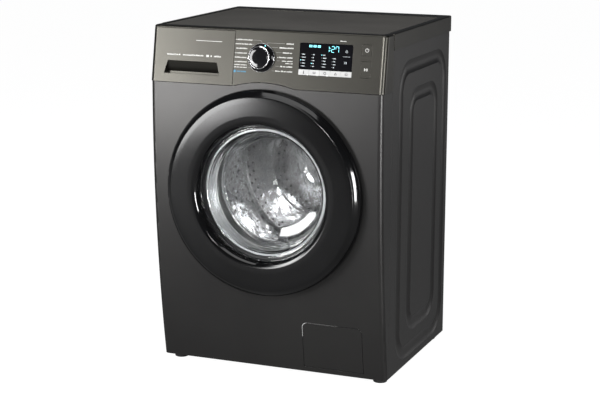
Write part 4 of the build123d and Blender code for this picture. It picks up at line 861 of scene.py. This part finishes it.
def makeKeyIcons():
    # a small dark sign on each silver key, pale ones on the two larger buttons
    signs = [
        [(0, 0.8, 1.7, 6.2, 0), (0, -2.2, 3.2, 2.4, 0)],
        [(-2.8, 0.4, 1.1, 4, 0), (2.8, 0.4, 1.1, 4, 0), (0, -1.7, 6.6, 1.2, 0), (0, 1.2, 3.6, 0.9, 0)],
        ringMarks(0, 0, 2.6, 1.2, count=10),
        [(-1.6, 0, 1.1, 5.8, -24), (1.6, 0, 1.1, 5.8, 24), (0, -2.3, 6.4, 1, 0)],
        [(-2.4, 0, 1.2, 4.4, 0), (0.6, 1.8, 5, 1, 0), (0.6, -1.8, 5, 1, 0), (2.6, 0, 1.1, 2.4, 0)],
    ]
    for number, sign in enumerate(signs):
        x, up, out = faceBox("option_button_%d" % (number + 1))
        icon = onFace(tiles("keySign%d" % (number + 1), sign), x * mm, up * mm, out)
        settle(icon, "option_key_%d" % (number + 1), finish("printedDark"))
    x, up, out = faceBox("power_button")
    marks = ringMarks(0, -0.5, 4.1, 1.1, 120, 300, 14) + [(0, 2.6, 1.1, 4.4, 0)]
    power = onFace(tiles("powerSign", marks), x * mm, up * mm, out)
    settle(power, "power_key", finish("printedWhite"))
    x, up, out = faceBox("start_button")
    marks = [(-3.6, 0, 1.1, 6.4, 0), (-2.1, 1.3, 4.2, 1.1, -42), (-2.1, -1.3, 4.2, 1.1, 42),
             (1.6, 0, 1.1, 6.4, 0), (3.8, 0, 1.1, 6.4, 0)]
    start = onFace(tiles("startSign", marks), x * mm, up * mm, out)
    settle(start, "start_key", finish("printedWhite"))


def stage():
    # pale floor, brighter to the camera than to the object
    floor = dict(size=60, colour=(0.16, 0.16, 0.16), seen=0.85, cast=0.12)
    bpy.ops.object.select_all(action="DESELECT")
    bpy.ops.mesh.primitive_plane_add(size=floor["size"], location=(0, 0, 0))
    plane = bpy.context.object
    plane.name = "floor"
    material = bpy.data.materials.new("paleFloor")
    material.use_nodes = True
    shader = material.node_tree.nodes["Principled BSDF"]
    shader.inputs["Base Color"].default_value = (*floor["colour"], 1)
    shader.inputs["Roughness"].default_value = 0.9
    shader.inputs["Emission Color"].default_value = (1, 1, 1, 1)
    path = material.node_tree.nodes.new("ShaderNodeLightPath")
    bright = material.node_tree.nodes.new("ShaderNodeMath")
    bright.operation = "MULTIPLY_ADD"
    bright.inputs[1].default_value = floor["seen"]
    bright.inputs[2].default_value = floor["cast"]
    link(material.node_tree, path.outputs["Is Camera Ray"], bright.inputs[0])
    link(material.node_tree, bright.outputs["Value"], shader.inputs["Emission Strength"])
    dress(plane, material)


def lamp(name, place, aim, size, height, power):
    bpy.ops.object.light_add(type="AREA", location=place)
    light = bpy.context.object
    light.name = name
    light.data.shape = "RECTANGLE"
    light.data.size = size
    light.data.size_y = height
    light.data.energy = power
    light.rotation_mode = "QUATERNION"
    light.visible_camera = False
    light.rotation_quaternion = (Vector(aim) - Vector(place)).to_track_quat("-Z", "Y")


def studio():
    # soft lamps: place, aim, width, height and power
    lamps = dict(
        keySoftbox=((-2.0, -2.7, 1.45), (-0.15, -0.2, 0.75), 0.9, 1.1, 46),
        lowerKey=((-1.48, -2.5, 0.6), (-0.2, -0.25, 0.62), 0.8, 0.78, 36),
        topSoftbox=((0.1, -0.9, 3.2), (0, 0, 0.4), 2.2, 1.6, 30),
        rightStrip=((2.6, -1.2, 0.45), (0.25, -0.2, 0.3), 0.25, 1.2, 60),
        sideFill=((2.6, 2.6, 0.5), (0.3, 0, 0.3), 1.6, 0.8, 8),
        drumLight=((0.55, -2.3, 1.35), (-0.02, 0, 0.45), 0.5, 0.35, 30),
    )
    world = bpy.data.worlds.new("studio")
    bpy.context.scene.world = world
    world.use_nodes = True
    background = world.node_tree.nodes["Background"]
    background.inputs["Color"].default_value = (0.9, 0.93, 1.0, 1)
    background.inputs["Strength"].default_value = 0.07
    for name, settings in lamps.items():
        lamp(name, *settings)
    bpy.context.scene.view_settings.view_transform = "Standard"


def camera():
    # angles in degrees
    view = dict(place=(1.5096, -3.7283, 1.2770), turn=22.13, drop=12.34, roll=0.184, lens=97.74)
    data = bpy.data.cameras.new("camera")
    data.lens = view["lens"]
    data.sensor_width = 36
    cam = bpy.data.objects.new("camera", data)
    bpy.context.scene.collection.objects.link(cam)
    cam.matrix_world = (Matrix.Translation(view["place"])
                        @ Matrix.Rotation(math.radians(view["turn"]), 4, "Z")
                        @ Matrix.Rotation(math.radians(90 - view["drop"]), 4, "X")
                        @ Matrix.Rotation(math.radians(view["roll"]), 4, "Z"))
    bpy.context.scene.camera = cam


makeDoorRing()
makeGlass()
makeGasket()
print("door")
makeDrum()
print("drum")
makeKnob()
makePrint()
makeDisplay()
makeKeyIcons()
print("control face")
makeSprings()
makeHoses()
makeScrews()
print("springs, hoses and screws")
stage()
studio()
camera()
print("floor, lights and camera")
